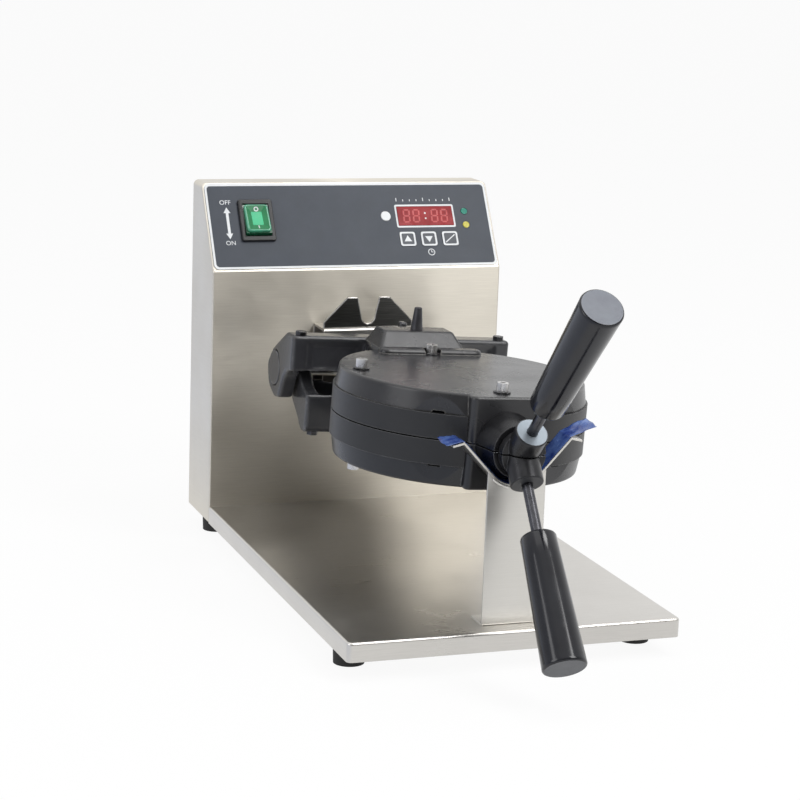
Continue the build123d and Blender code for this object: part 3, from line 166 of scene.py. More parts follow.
def brushed_grain():
    """Long fine lines along X, or along Y on the faces that look sideways."""
    tree, given, made = effect(
        "brushed_grain",
        {"Fineness": 1500.0, "Length": 40.0},
        {"Lines": "NodeSocketFloat", "Clouds": "NodeSocketFloat"},
    )
    facing = maths(tree, "ABSOLUTE", split(tree, coordinates(tree, "Normal"))[0])
    sideways = maths(tree, "GREATER_THAN", facing, facing_share)
    along_x = vector_of(tree, given["Length"], given["Fineness"], given["Fineness"])
    along_y = vector_of(tree, given["Fineness"], given["Length"], given["Fineness"])
    either = {0: sideways, 4: along_x, 5: along_y}
    stretch = add(tree, "ShaderNodeMix", either, data_type="VECTOR").outputs[1]
    place = coordinates(tree, "Object")
    drawn = vector_maths(tree, "MULTIPLY", place, stretch)[0]
    tree.links.new(noise(tree, drawn, scale=1.0, detail=4.0, roughness=0.65), made["Lines"])
    tree.links.new(noise(tree, place, scale=9.0, detail=2.0), made["Clouds"])
    return tree


def casting_skin():
    """The slightly rough skin of a coated casting: fine grit, and soft clouds in its colour."""
    tree, given, made = effect(
        "casting_skin",
        {"Grit": 1400.0, "Clouds": 26.0},
        {"Height": "NodeSocketFloat", "Shade": "NodeSocketFloat"},
    )
    place = coordinates(tree, "Object")
    grit = noise(tree, place, given["Grit"], detail=2.0, roughness=0.6)
    waves = noise(tree, place, maths(tree, "MULTIPLY", given["Grit"], 0.12), detail=2.0)
    tree.links.new(maths(tree, "ADD", grit, waves), made["Height"])
    tree.links.new(noise(tree, place, given["Clouds"], detail=4.0, roughness=0.6), made["Shade"])
    return tree


def rounded_edges():
    """Softened edges, and a mask of paler edges, partly wear and partly painted highlight."""
    tree, given, made = effect(
        "rounded_edges",
        {"Radius": 0.0005, "Wear": 0.5, "Patches": 160.0},
        {"Worn And Highlit": "NodeSocketFloat", "Normal": "NodeSocketVector"},
    )
    soft = add(tree, "ShaderNodeBevel", {"Radius": given["Radius"]}, samples=4).outputs[0]
    true = add(tree, "ShaderNodeNewGeometry").outputs["Normal"]
    level = vector_maths(tree, "DOT_PRODUCT", soft, true)["Value"]
    edge = remap(tree, level, 0.995, 0.86, 0.0, 1.0)
    patchy = noise(tree, coordinates(tree, "Object"), given["Patches"], detail=4.0, roughness=0.7)
    patches = remap(tree, patchy, 0.32, 0.62, 0.25, 1.0)
    worn_and_highlit = maths(tree, "MULTIPLY", maths(tree, "MULTIPLY", edge, patches), given["Wear"])
    tree.links.new(worn_and_highlit, made["Worn And Highlit"])
    tree.links.new(soft, made["Normal"])
    return tree


def handling_marks():
    """Faint smears and dust that change the shine."""
    tree, given, made = effect(
        "handling_marks", {"Size": 30.0, "Strength": 0.1}, {"Dull": "NodeSocketFloat"}
    )
    smears = noise(tree, coordinates(tree, "Object"), given["Size"], detail=5.0, roughness=0.62)
    dull = maths(tree, "MULTIPLY", spread(tree, smears, -1.0, 1.0), given["Strength"])
    tree.links.new(dull, made["Dull"])
    return tree


grain = brushed_grain()
skin = casting_skin()
edges = rounded_edges()
marks = handling_marks()


# Finishes. Colours are linear, and the effects' sizes and distances are in metres or per metre
def finish(name, metallic=0.0, **constants):
    """A new material with its Principled shader, ready for colour, roughness and bump."""
    material = bpy.data.materials.new(name)
    material.use_nodes = True
    tree = material.node_tree
    shader = tree.nodes["Principled BSDF"]
    shader.inputs["Metallic"].default_value = metallic
    for label, value in constants.items():
        shader.inputs[label.replace("_", " ").title().replace("Ior", "IOR")].default_value = value
    return material, tree, shader


def dress(tree, shader, colour, roughness, height, strength, distance, normal=None):
    """Join colour, roughness and bump to the shader."""
    tree.links.new(colour, shader.inputs["Base Color"])
    tree.links.new(roughness, shader.inputs["Roughness"])
    bump = add(
        tree, "ShaderNodeBump", {"Height": height, "Strength": strength, "Distance": distance}
    )
    if normal is not None:
        tree.links.new(normal, bump.inputs["Normal"])
    tree.links.new(bump.outputs[0], shader.inputs["Normal"])


def brushed_steel(name, light, dark, roughness, anisotropic=0.0):
    """Stainless sheet with a level brushed grain, which draws its reflections out upright."""
    material, tree, shader = finish(name, 1.0, anisotropic=anisotropic, anisotropic_rotation=0.25)
    lines = use(tree, grain, fineness=1500.0, length=40.0)
    rims = use(tree, edges, radius=0.0006, wear=0.4)
    smears = use(tree, marks, size=14.0, strength=0.06)
    fine = maths(tree, "MULTIPLY", lines["Lines"], 0.7)
    shade = maths(tree, "ADD", fine, maths(tree, "MULTIPLY", lines["Clouds"], 0.3))
    colour = blend(tree, spread(tree, shade, reach=0.15), dark, light)
    colour = blend(tree, rims["Worn And Highlit"], colour, (0.82, 0.81, 0.79))
    shine = spread(tree, lines["Lines"], roughness - 0.02, roughness + 0.03)
    rough = maths(tree, "ADD", shine, smears["Dull"])
    dress(
        tree, shader, colour, rough, lines["Lines"], 0.09, distance=0.00003, normal=rims["Normal"]
    )
    return material


def skinned(
    name, light, dark, worn_and_highlit, roughness, skin_sizes, edge_sizes, mark_sizes, bump, **constants
):
    """A finish with a fine skin, paler edges of wear and painted highlight, and smears.

    Roughness is a range, the sizes are the effects' values, and bump is a strength and a distance.
    """
    material, tree, shader = finish(name, **constants)
    surface = use(tree, skin, **skin_sizes)
    rims = use(tree, edges, **edge_sizes)
    smears = use(tree, marks, **mark_sizes)
    colour = blend(tree, spread(tree, surface["Shade"]), dark, light)
    colour = blend(tree, rims["Worn And Highlit"], colour, worn_and_highlit)
    rough = maths(tree, "ADD", spread(tree, surface["Shade"], *roughness), smears["Dull"])
    strength, distance = bump
    dress(tree, shader, colour, rough, surface["Height"], strength, distance, rims["Normal"])
    return material


def cast_coat(
    name, light, dark, roughness, radius=0.0009, wear=0.5, worn_and_highlit=(0.3, 0.3, 0.31), bump=0.35
):
    """Coated cast aluminium."""
    return skinned(
        name, light, dark, worn_and_highlit, (roughness - 0.03, roughness + 0.05),
        {"grit": 1400.0, "clouds": 26.0},
        {"radius": radius, "wear": wear},
        {"size": 22.0, "strength": 0.025},
        (bump, 0.00012),
    )


def machined(
    name, light, dark, roughness, wear=0.5, worn_and_highlit=(0.8, 0.8, 0.8), radius=0.0003, metallic=1.0
):
    """Turned, plated or blackened steel of the small parts."""
    return skinned(
        name, light, dark, worn_and_highlit, (roughness, roughness + 0.06),
        {"grit": 3200.0, "clouds": 110.0},
        {"radius": radius, "wear": wear, "patches": 420.0},
        {"size": 80.0, "strength": 0.08},
        (0.1, 0.00005),
        metallic=metallic,
    )


def moulded(name, light, dark, roughness, radius=0.0005, bump=0.12, grit=1800.0, **constants):
    """Moulded plastic or rubber, paler where it is rubbed."""
    return skinned(
        name, light, dark, tuple(min(1, 2.2 * share + 0.03) for share in light),
        (roughness - 0.02, roughness + 0.04),
        {"grit": grit, "clouds": 60.0},
        {"radius": radius, "wear": 0.25},
        {"size": 45.0, "strength": 0.05},
        (bump, 0.00006),
        **constants,
    )


def cut_plate(name, face, edge):
    """A steel plate whose face is painted dark as a painted reflection of the iron before it, and
    whose cut edges show bright steel, widened by painted highlight.
    """
    material, tree, shader = finish(name, 1.0, anisotropic=0.5, anisotropic_rotation=0.25)
    lines = use(tree, grain, fineness=1100.0, length=40.0)
    rims = use(tree, edges, radius=0.0018, wear=1.0, patches=60.0)
    facing = maths(tree, "ABSOLUTE", split(tree, coordinates(tree, "Normal"))[1])
    bright = maths(tree, "MAXIMUM", maths(tree, "LESS_THAN", facing, facing_share), rims["Worn And Highlit"])
    shade = spread(tree, lines["Lines"], reach=0.15)
    streaked = blend(tree, shade, face, [0.6 * share for share in face])
    colour = blend(tree, bright, streaked, edge)
    rough = spread(tree, lines["Clouds"], 0.26, 0.36)
    dress(tree, shader, colour, rough, lines["Lines"], 0.1, distance=0.00004, normal=rims["Normal"])
    return material


def shade_painted_steel(name, light, painted_shade, top, bottom):
    """Strip steel with painted shade, darker below a height where the castings shade it."""
    material, tree, shader = finish(name, 1.0)
    lines = use(tree, grain, fineness=1100.0, length=30.0)
    rims = use(tree, edges, radius=0.0006, wear=0.4)
    height = split(tree, coordinates(tree, "Object"))[2]
    ragged = maths(tree, "ADD", height, spread(tree, lines["Clouds"], -0.006, 0.006))
    # Painted shade: this mask darkens the steel below the given height
    painted_shade_mask = remap(tree, ragged, bottom, top, 1.0, 0.0)
    shade = spread(tree, lines["Lines"], reach=0.15)
    steel = blend(tree, shade, light, [0.88 * share for share in light])
    colour = blend(tree, painted_shade_mask, steel, painted_shade)
    rough = spread(tree, lines["Lines"], 0.3, 0.36)
    dress(
        tree, shader, colour, rough, lines["Lines"], 0.09, distance=0.00003, normal=rims["Normal"]
    )
    return material


def hub_finish(name, end_direction, end_colour):
    """Blackened steel whose barrel end gets a colour of painted light: paler as a painted
    reflection, darker as painted shade.
    """
    material, tree, shader = finish(name, 0.5)
    surface = use(tree, skin, grit=3200.0, clouds=110.0)
    rims = use(tree, edges, radius=0.0009, wear=0.5, patches=420.0)
    level = vector_maths(tree, "DOT_PRODUCT", coordinates(tree, "Normal"), end_direction)["Value"]
    end_face = maths(tree, "GREATER_THAN", level, 0.985)
    coat = blend(tree, spread(tree, surface["Shade"]), (0.016, 0.016, 0.018), (0.03, 0.03, 0.033))
    coat = blend(tree, rims["Worn And Highlit"], coat, (0.25, 0.25, 0.26))
    colour = blend(tree, end_face, coat, end_colour)
    duller = maths(tree, "MULTIPLY", end_face, 0.2)
    rough = maths(tree, "ADD", spread(tree, surface["Shade"], 0.26, 0.32), duller)
    dress(
        tree, shader, colour, rough, surface["Height"], 0.1, distance=0.00005, normal=rims["Normal"]
    )
    return material


def film_plastic():
    """Blue protective film, clear at its thin places."""
    material, tree, shader = finish("film_plastic")
    surface = use(tree, skin, grit=260.0, clouds=70.0)
    smears = use(tree, marks, size=120.0, strength=0.08)
    thin_places = spread(tree, surface["Shade"], reach=0.12)
    colour = blend(tree, thin_places, (0.018, 0.045, 0.22), (0.10, 0.18, 0.46))
    rough = maths(tree, "ADD", spread(tree, surface["Shade"], 0.16, 0.28), smears["Dull"])
    dress(tree, shader, colour, rough, surface["Height"], 0.5, distance=0.0004)
    return material


# Steel
sheet_steel = brushed_steel(
    "sheet_steel_finish", (0.70, 0.662, 0.585), (0.63, 0.592, 0.522), 0.40, anisotropic=0.8
)
deck_steel = brushed_steel("deck_steel_finish", (0.66, 0.64, 0.61), (0.59, 0.575, 0.545), 0.32)
strip_steel = brushed_steel(
    "strip_steel_finish", (0.71, 0.695, 0.66), (0.675, 0.66, 0.625), 0.35, anisotropic=0.6
)
# The latch plate's dark face colour is a painted reflection; its bright edges are steel colour and
# painted highlight
latch_steel = cut_plate("latch_steel_finish", (0.13, 0.13, 0.125), (0.80, 0.78, 0.75))
# The bracket's dark lower part is painted shade from the castings above it
bracket_steel = shade_painted_steel(
    "bracket_steel_finish", (0.72, 0.70, 0.67), (0.06, 0.055, 0.05), top=0.174, bottom=0.166
)
# The hub ends are lit and shaded copies: a pale painted reflection of the sky on the upper hub's
# end, painted shade on the lower hub's end
upper_hub_finish = hub_finish("upper_hub_finish", handle_forward + handle_rise, (0.28, 0.32, 0.36))
lower_hub_finish = hub_finish(
    "lower_hub_finish", handle_forward - handle_rise, (0.06, 0.062, 0.068)
)
hub_black = machined(
    "hub_black", (0.07, 0.07, 0.075), (0.035, 0.035, 0.04), 0.34,
    worn_and_highlit=(0.35, 0.35, 0.36), radius=0.0006, metallic=0.6,
)
rod_black = machined(
    "rod_black", (0.11, 0.11, 0.12), (0.06, 0.06, 0.066), 0.24, wear=0.4, worn_and_highlit=(0.4, 0.4, 0.4)
)
black_screw = machined(
    "black_screw", (0.09, 0.09, 0.095), (0.03, 0.03, 0.032), 0.35, wear=1.0, worn_and_highlit=(0.6, 0.6, 0.6)
)
bright_screw = machined("bright_screw", (0.72, 0.71, 0.70), (0.50, 0.49, 0.48), 0.24)
bearing = machined("bearing_finish", (0.60, 0.59, 0.57), (0.42, 0.41, 0.40), 0.22)
heater = machined("heater_finish", (0.34, 0.30, 0.26), (0.20, 0.17, 0.15), 0.42)

# Castings
# Cast coats: their paler edges are partly wear and partly painted highlight along the rims
cover_coat = cast_coat(
    "cover_coat", (0.026, 0.026, 0.028), (0.019, 0.019, 0.021), 0.25,
    radius=0.0014, wear=0.9, worn_and_highlit=(0.32, 0.31, 0.29), bump=0.2,
)
ring_coat = cast_coat("ring_coat", (0.014, 0.014, 0.015), (0.008, 0.008, 0.009), 0.42, bump=0.3)
lower_coat = cast_coat(
    "lower_coat", (0.013, 0.014, 0.017), (0.008, 0.008, 0.010), 0.28,
    radius=0.0014, wear=0.7, bump=0.2,
)
casting_coat = cast_coat(
    "hinge_casting_coat", (0.042, 0.043, 0.047), (0.028, 0.028, 0.032), 0.2,
    radius=0.0022, wear=0.9, worn_and_highlit=(0.34, 0.34, 0.35), bump=0.15,
)

# Plastics, rubber and prints
grip_coat = moulded(
    "grip_coat", (0.010, 0.011, 0.015), (0.006, 0.006, 0.009), 0.15,
    radius=0.0002, bump=0.03, specular_ior_level=0.35, coat_weight=0.15, coat_roughness=0.06,
)
# The grip ends are lit and shaded copies of one finish: the upper grip's paler end is painted
# light, shaded_grip_end is painted shade
grip_end = moulded("grip_end_finish", (0.19, 0.21, 0.24), (0.14, 0.15, 0.18), 0.45)
shaded_grip_end = moulded(
    "shaded_grip_end_finish", (0.075, 0.08, 0.088), (0.055, 0.058, 0.066), 0.45
)
rubber = moulded(
    "rubber_finish", (0.02, 0.02, 0.02), (0.010, 0.010, 0.011), 0.72, bump=0.4, grit=2600.0
)
overlay_film = moulded(
    "overlay_film", (0.047, 0.056, 0.073), (0.039, 0.047, 0.062), 0.36,
    radius=0.0002, bump=0.25, grit=4200.0, specular_ior_level=0.3,
)
switch_plastic = moulded("switch_plastic", (0.016, 0.016, 0.017), (0.010, 0.010, 0.011), 0.3)
key_plastic = moulded(
    "key_plastic", (0.040, 0.048, 0.063), (0.033, 0.040, 0.053), 0.36,
    radius=0.0003, bump=0.25, grit=4200.0,
)
white_print = moulded("white_print", (0.80, 0.82, 0.83), (0.70, 0.72, 0.74), 0.5, radius=0.0001)
rocker_green = moulded(
    "rocker_green", (0.012, 0.10, 0.05), (0.008, 0.07, 0.03), 0.16,
    bump=0.04, coat_weight=0.4, coat_roughness=0.05,
)
# The lens greens paint its light: darker facets as painted shade, a bright middle as painted light
# shining through the lens
lens_rim_green = moulded(
    "lens_rim_green", (0.06, 0.34, 0.20), (0.03, 0.22, 0.12), 0.12,
    bump=0.03, coat_weight=0.5, coat_roughness=0.05,
)
lens_facet_green = moulded(
    "lens_facet_green", (0.03, 0.22, 0.09), (0.02, 0.15, 0.06), 0.3,
    bump=0.03, specular_ior_level=0.25,
)
lens_middle_green = moulded(
    "lens_middle_green", (0.01, 0.46, 0.20), (0.008, 0.34, 0.14), 0.2,
    bump=0.03, specular_ior_level=0.3,
)
window_red = moulded(
    "window_red_finish", (0.36, 0.02, 0.025), (0.24, 0.012, 0.016), 0.14, radius=0.0002, bump=0.03
)
digit_red = moulded("digit_red", (0.55, 0.06, 0.06), (0.45, 0.04, 0.045), 0.3, radius=0.0001)
lamp_white = moulded("lamp_white", (0.82, 0.84, 0.84), (0.72, 0.74, 0.75), 0.2, bump=0.03)
lamp_green = moulded("lamp_green_finish", (0.015, 0.27, 0.20), (0.01, 0.20, 0.14), 0.16, bump=0.03)
lamp_yellow = moulded("lamp_yellow_finish", (0.60, 0.54, 0.07), (0.50, 0.44, 0.05), 0.18, bump=0.03)
board_green = moulded("board_green_finish", (0.02, 0.13, 0.05), (0.012, 0.09, 0.035), 0.34)
moulding_grey = moulded("moulding_grey_finish", (0.42, 0.43, 0.44), (0.34, 0.35, 0.36), 0.46)

finishes = {
    "base_tray": deck_steel,
    "tower_shell": sheet_steel,
    "back_cover": sheet_steel,
    "rubber_feet": rubber,
    "foot_nuts": bright_screw,
    "back_cover_screws": bright_screw,
    "cord_gland": switch_plastic,
    "pivot_bracket": bracket_steel,
    "bracket_screws": bright_screw,
    "latch_plate": latch_steel,
    "shaft_bushes": bearing,
    "stop_pins": bearing,
    "cradle": strip_steel,
    "support_post": strip_steel,
    "post_screws": bright_screw,
    "control_overlay": overlay_film,
    "switch_housing": switch_plastic,
    "power_rocker": rocker_green,
    "display_window": window_red,
    "display_module": moulding_grey,
    "timer_board": board_green,
    "board_spacers": moulding_grey,
    "key_up": key_plastic,
    "key_down": key_plastic,
    "key_start": key_plastic,
    "ready_lamp": lamp_green,
    "power_lamp": lamp_yellow,
    "heat_lamp": lamp_white,
    "terminal_block": moulding_grey,
    "power_relay": switch_plastic,
    "pivot_shaft": bearing,
    "stop_collar": bearing,
    "shaft_nut": bright_screw,
    "hinge_yoke": hub_black,
    "hinge_pin": bearing,
    "hinge_caps": casting_coat,
    "thermostat": moulding_grey,
    "upper_hinge_casting": casting_coat,
    "lower_hinge_casting": casting_coat,
    "upper_casting_screws": black_screw,
    "lower_casting_screws": black_screw,
    "upper_grid": ring_coat,
    "lower_grid": ring_coat,
    "upper_cover": cover_coat,
    "lower_cover": lower_coat,
    "upper_heating_element": heater,
    "lower_heating_element": heater,
    "upper_stop_peg": hub_black,
    "lower_stop_peg": hub_black,
    "upper_hub": upper_hub_finish,
    "lower_hub": lower_hub_finish,
    "upper_handle_rod": rod_black,
    "lower_handle_rod": rod_black,
    "upper_screw_washers": black_screw,
    "lower_screw_washers": black_screw,
    "upper_cover_screws": bright_screw,
    "lower_cover_screws": bright_screw,
    "upper_grip": grip_coat,
    "lower_grip": grip_coat,
    "cradle_film": strip_steel,
}
for node_name, material in finishes.items():
    nodes[node_name].material_slots[0].material = material


# Mesh helpers
def new_piece(name, mesh, body, *materials, slot=None):
    """Put a finished mesh in the scene as a piece that rides on a body."""
    piece = bpy.data.objects.new(name, mesh)
    scene.collection.objects.link(piece)
    for material in materials:
        mesh.materials.append(material)
    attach(piece, body)
    return piece


def held(data):
    """A passing object that holds a curve, a text or a mesh."""
    holder = bpy.data.objects.new("holder", data)
    scene.collection.objects.link(holder)
    return holder


def plain_mesh(holder):
    """The finished mesh of a passing object, which goes away."""
    evaluated = holder.evaluated_get(bpy.context.evaluated_depsgraph_get())
    mesh = bpy.data.meshes.new_from_object(evaluated)
    holder.modifiers.clear()
    bpy.data.objects.remove(holder)
    return mesh


def built_mesh(name, build):
    """The mesh of what has been built up, which is freed."""
    mesh = bpy.data.meshes.new(name)
    build.to_mesh(mesh)
    build.free()
    return mesh


# Hinge castings with the soft corners of cast metal
casting_grid = 1.1 * mm
casting_rounds = 7
for half_name, body in (("upper", "lid"), ("lower", "carrier")):
    build = bmesh.new()
    build.from_mesh(nodes[f"{half_name}_hinge_casting"].data)
    bmesh.ops.remove_doubles(build, verts=build.verts, dist=0.001 * mm)
    holder = held(built_mesh("sharp_casting", build))
    even = holder.modifiers.new("even", "REMESH")
    even.mode = "VOXEL"
    even.voxel_size = casting_grid
    round_off = holder.modifiers.new("round_off", "SMOOTH")
    round_off.factor = 0.5
    round_off.iterations = casting_rounds
    soft = plain_mesh(holder)
    soft.materials.clear()
    for face in soft.polygons:
        face.use_smooth = True
    piece_name = f"{half_name}_soft_casting"
    piece = new_piece(piece_name, soft, body, casting_coat, slot="coated_aluminium")
    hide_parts(f"{half_name}_hinge_casting")


# Flat drawings in millimetres
def rounded(centre, width, height, corner, steps=5):
    """Corner points of a rounded rectangle."""
    points = []
    for turn, (side, rise) in enumerate(((1, 1), (-1, 1), (-1, -1), (1, -1))):
        x = centre[0] + side * (width / 2 - corner)
        y = centre[1] + rise * (height / 2 - corner)
        for step in range(steps + 1):
            angle = pi / 2 * (turn + step / steps)
            points.append((x + corner * cos(angle), y + corner * sin(angle)))
    return points


def circle(centre, radius, count=32):
    """Points round a circle."""
    angles = [2 * pi * step / count for step in range(count)]
    return [(centre[0] + radius * cos(angle), centre[1] + radius * sin(angle)) for angle in angles]


def bar(start, end, width):
    """The four corners of a straight stroke."""
    first, last = Vector(start), Vector(end)
    along = last - first
    across = Vector((-along.y, along.x)).normalized() * width / 2
    return [first + across, first - across, last - across, last + across]


def triangle(tip, height, half_base=3.5):
    """A triangle below its tip, or above it if the height is negative."""
    x, y = tip
    side = half_base if height > 0 else -half_base
    return [tip, (x - side, y - height), (x + side, y - height)]


def double_arrow(x, low, high, half_shaft, half_head, head_length):
    """One outline of an upright arrow with a head at both ends."""
    right = [(x, low), (x + half_head, low + head_length), (x + half_shaft, low + head_length)]
    right += [(x + half_shaft, high - head_length), (x + half_head, high - head_length), (x, high)]
    return right + [(2 * x - px, py) for px, py in reversed(right[1:-1])]


def printed(*outlines):
    """A thin mesh from closed outlines, where an outline inside another one cuts a hole."""
    curve = bpy.data.curves.new("print", "CURVE")
    curve.dimensions = "2D"
    curve.fill_mode = "BOTH"
    curve.extrude = half_print
    for outline in outlines:
        spline = curve.splines.new("POLY")
        spline.points.add(len(outline) - 1)
        for point, (x, y) in zip(spline.points, outline):
            point.co = (x, y, 0, 1)
        spline.use_cyclic_u = True
    return plain_mesh(held(curve))


def frame_line(centre, outer, inner):
    """A line between two rounded rectangles, each a width, a height and a corner radius."""
    return printed(rounded(centre, *outer), rounded(centre, *inner))


def lettered(text, centre, height):
    """A thin mesh of a short word in the built-in face, whose capitals are 0.7 of its size."""
    curve = bpy.data.curves.new("lettering", "FONT")
    curve.body = text
    curve.size = height / 0.7
    curve.extrude = half_print
    curve.align_x = "CENTER"
    curve.align_y = "CENTER"
    mesh = plain_mesh(held(curve))
    mesh.transform(Matrix.Translation((*centre, 0)))
    return mesh


def print_piece(name, meshes, place, body, material, slot):
    """Join flat drawings, lay them in place and put them in the scene."""
    build = bmesh.new()
    for mesh in meshes:
        build.from_mesh(mesh)
    whole = built_mesh(name, build)
    whole.transform(place)
    new_piece(name, whole, body, material, slot=slot)


def on_panel(height):
    """The plane of the panel, raised to a height."""
    return panel @ Matrix.Translation((0, 0, height))


# Printed marks on the overlay and the keys, measured from the middle of the panel's lower fold
half_print = 0.03
print_height = 0.035
overlay_top = 0.4
key_top = 0.7
fine_stroke = 0.6
clock_x, clock_y = 68.4, 14.9
overlay_marks = [
    frame_line((0, 41.6), (256.2, 79.0, 4.4), (252.4, 75.0, 3.0)),
    frame_line((67.7, 49.3), (54.6, 21.8, 1.6), (51.6, 18.6, 0.6)),
    printed(double_arrow(-111, 29.8, 59.2, half_shaft=1.2, half_head=3.0, head_length=5.2)),
    printed(circle((clock_x, clock_y), 3.2), circle((clock_x, clock_y), 2.5)),
    printed(bar((clock_x, clock_y - 0.3), (clock_x, clock_y + 2.0), fine_stroke)),
    printed(bar((clock_x - 0.2, clock_y), (clock_x + 1.6, clock_y), fine_stroke)),
    lettered("OFF", (-111.6, 63.6), 4.0),
    lettered("ON", (-110.9, 26.0), 3.9),
]
first_tick, tick_step = 43.0, 6.2
tick_low, short_tick, long_tick = 63.4, 65.2, 66.6
for tick in range(9):
    tick_x = first_tick + tick_step * tick
    tick_high = long_tick if tick % 4 == 0 else short_tick
    overlay_marks.append(printed(bar((tick_x, tick_low), (tick_x, tick_high), 0.7)))
overlay_face = on_panel(overlay_top + print_height)
print_piece("panel_print", overlay_marks, overlay_face, "base", white_print, "panel_film")

key_y = 27.5
key_face = on_panel(key_top + print_height)
keys = {
    "key_up": ("up_button", 48.4, triangle((48.4, 30.8), 5.6)),
    "key_down": ("down_button", 68.0, triangle((68.0, 24.2), -5.6)),
    "key_start": ("start_button", 87.7, bar((83.2, 23.9), (92.2, 31.1), 0.9)),
}
for key_name, (body, key_x, sign) in keys.items():
    key_marks = [frame_line((key_x, key_y), (14.2, 13.4, 2.1), (11.0, 10.2, 1.3)), printed(sign)]
    print_piece(f"{key_name}_print", key_marks, key_face, body, white_print, "panel_film")

# Digits on the display window, of seven strokes each, on a leaning grid of three by six units
strokes = [
    ((0, 6), (3, 6)),
    ((3, 3), (3, 6)),
    ((3, 0), (3, 3)),
    ((0, 0), (3, 0)),
    ((0, 0), (0, 3)),
    ((0, 3), (0, 6)),
    ((0, 3), (3, 3)),
]
digit_low = 43.6
unit_width, unit_height, unit_lean = 1.75, 1.9, 0.1
stroke_gap, stroke_width = 0.6, 1.35
digits = []
for digit_left in (47.5, 56.5, 73.5, 82.5):
    for stroke in strokes:
        start, end = (
            Vector((digit_left + x * unit_width + y * unit_lean, digit_low + y * unit_height))
            for x, y in stroke
        )
        inset = (end - start).normalized() * stroke_gap
        digits.append(printed(bar(start + inset, end - inset, stroke_width)))
window_face = on_panel(key_top + half_print)
print_piece("display_digits", digits, window_face, "base", digit_red, "window_red")
colon = [printed(circle((67.8, y), 0.8, 16)) for y in (46.9, 51.8)]
print_piece("display_colon", colon, window_face, "base", white_print, "window_red")

# Lens of the rocker: a cut rim, sloping facets and a clear middle, with a mark at each end
rocker_tilt = radians(8.0)
rocker_pivot = panel @ Vector((-86.0, 46.3, -1.0))
rocker_up = panel_up * cos(rocker_tilt) - panel_out * sin(rocker_tilt)
rocker_out = rightward.cross(rocker_up)
rocker_face = axes(rocker_pivot, rightward, rocker_up)
# Half the width and half the length of each ring, its corner radius and its height over the pivot
lens_rings = [
    (10.6, 13.4, 3.0, 4.4),
    (10.6, 13.4, 3.0, 6.3),
    (10.1, 12.9, 2.8, 6.95),
    (9.0, 12.0, 2.0, 7.0),
    (4.7, 6.6, 0.5, 5.3),
]
facet_level = 3


def rocker_lens():
    """Rings of a rounded rectangle, from the foot of the lens over its rim to the sunk middle."""
    build = bmesh.new()
    loops = []
    for half_width, half_length, corner, height in lens_rings:
        outline = rounded((0, 0), 2 * half_width, 2 * half_length, corner)
        loops.append([build.verts.new((x, y, height)) for x, y in outline])
    count = len(loops[0])
    for level, (low, high) in enumerate(zip(loops, loops[1:])):
        for i in range(count):
            j = (i + 1) % count
            face = build.faces.new((low[i], low[j], high[j], high[i]))
            face.material_index = 1 if level == facet_level else 0
            face.smooth = level < facet_level
    build.faces.new(list(reversed(loops[0])))
    build.faces.new(loops[-1]).material_index = 2
    mesh = built_mesh("rocker_lens", build)
    mesh.transform(rocker_face)
    return mesh


# Rim, facets and middle: the facets' darker green is painted shade, the middle's bright green is
# painted light
lens_finishes = (lens_rim_green, lens_facet_green, lens_middle_green)
new_piece("rocker_lens", rocker_lens(), "rocker", *lens_finishes, slot="switch_green")
(rim_length, rim_height), (middle_length, middle_height) = (ring[1::2] for ring in lens_rings[-2:])
facet_slope = atan2(rim_height - middle_height, rim_length - middle_length)
mark_place = 8.9
mark_height = middle_height + (mark_place - middle_length) * tan(facet_slope)
mark_lift = 0.05
off_sign = printed(circle((0, 0), 2.1), circle((0, 0), 1.2))
on_sign = printed(bar((0, -1.7), (0, 1.7), 0.9))
for side, sign in ((1, off_sign), (-1, on_sign)):
    along = rocker_up * cos(facet_slope) + rocker_out * side * sin(facet_slope)
    middle = rocker_face @ Vector((0, side * mark_place, mark_height))
    sign.transform(axes(middle, rightward, along) @ Matrix.Translation((0, 0, mark_lift)))
rocker_marks = [off_sign, on_sign]
print_piece("rocker_print", rocker_marks, Matrix.Identity(4), "rocker", white_print, "switch_green")


# Geometry Nodes that repeat a shape on points. Sizes are in millimetres
def repeat_tree(name, inputs):
    """An empty geometry tree with named sizes."""
    tree = bpy.data.node_groups.new(name, "GeometryNodeTree")
    tree.interface.new_socket("Geometry", in_out="INPUT", socket_type="NodeSocketGeometry")
    for label, value in inputs.items():
        kind = "NodeSocketInt" if isinstance(value, int) else "NodeSocketFloat"
        tree.interface.new_socket(label, in_out="INPUT", socket_type=kind).default_value = value
    tree.interface.new_socket("Geometry", in_out="OUTPUT", socket_type="NodeSocketGeometry")
    return tree, tree.nodes.new("NodeGroupInput").outputs, tree.nodes.new("NodeGroupOutput").inputs


def set_on_points(tree, given, made, shape, material):
    """Repeat a shape on every point of the piece, make the copies real and give them a finish."""
    on_points = {"Points": given["Geometry"], "Instance": shape}
    copies = add(tree, "GeometryNodeInstanceOnPoints", on_points).outputs[0]
    real = add(tree, "GeometryNodeRealizeInstances", {0: copies}).outputs[0]
    painted = add(tree, "GeometryNodeSetMaterial", {"Geometry": real, "Material": material})
    tree.links.new(painted.outputs[0], made["Geometry"])


def waved(tree, shape, count, depth):
    """A shape whose outside goes in and out a number of times round the axis."""
    place = split(tree, add(tree, "GeometryNodeInputPosition").outputs[0])
    turns = maths(tree, "MULTIPLY", maths(tree, "ARCTAN2", place[1], place[0]), count)
    wave = maths(tree, "MULTIPLY", maths(tree, "COSINE", turns), depth)
    level = vector_of(tree, place[0], place[1])
    outward = add(tree, "ShaderNodeVectorMath", {0: level}, operation="NORMALIZE").outputs[0]
    scaled = {0: outward, "Scale": wave}
    shift = add(tree, "ShaderNodeVectorMath", scaled, operation="SCALE").outputs[0]
    return add(tree, "GeometryNodeSetPosition", {"Geometry": shape, "Offset": shift}).outputs[0]


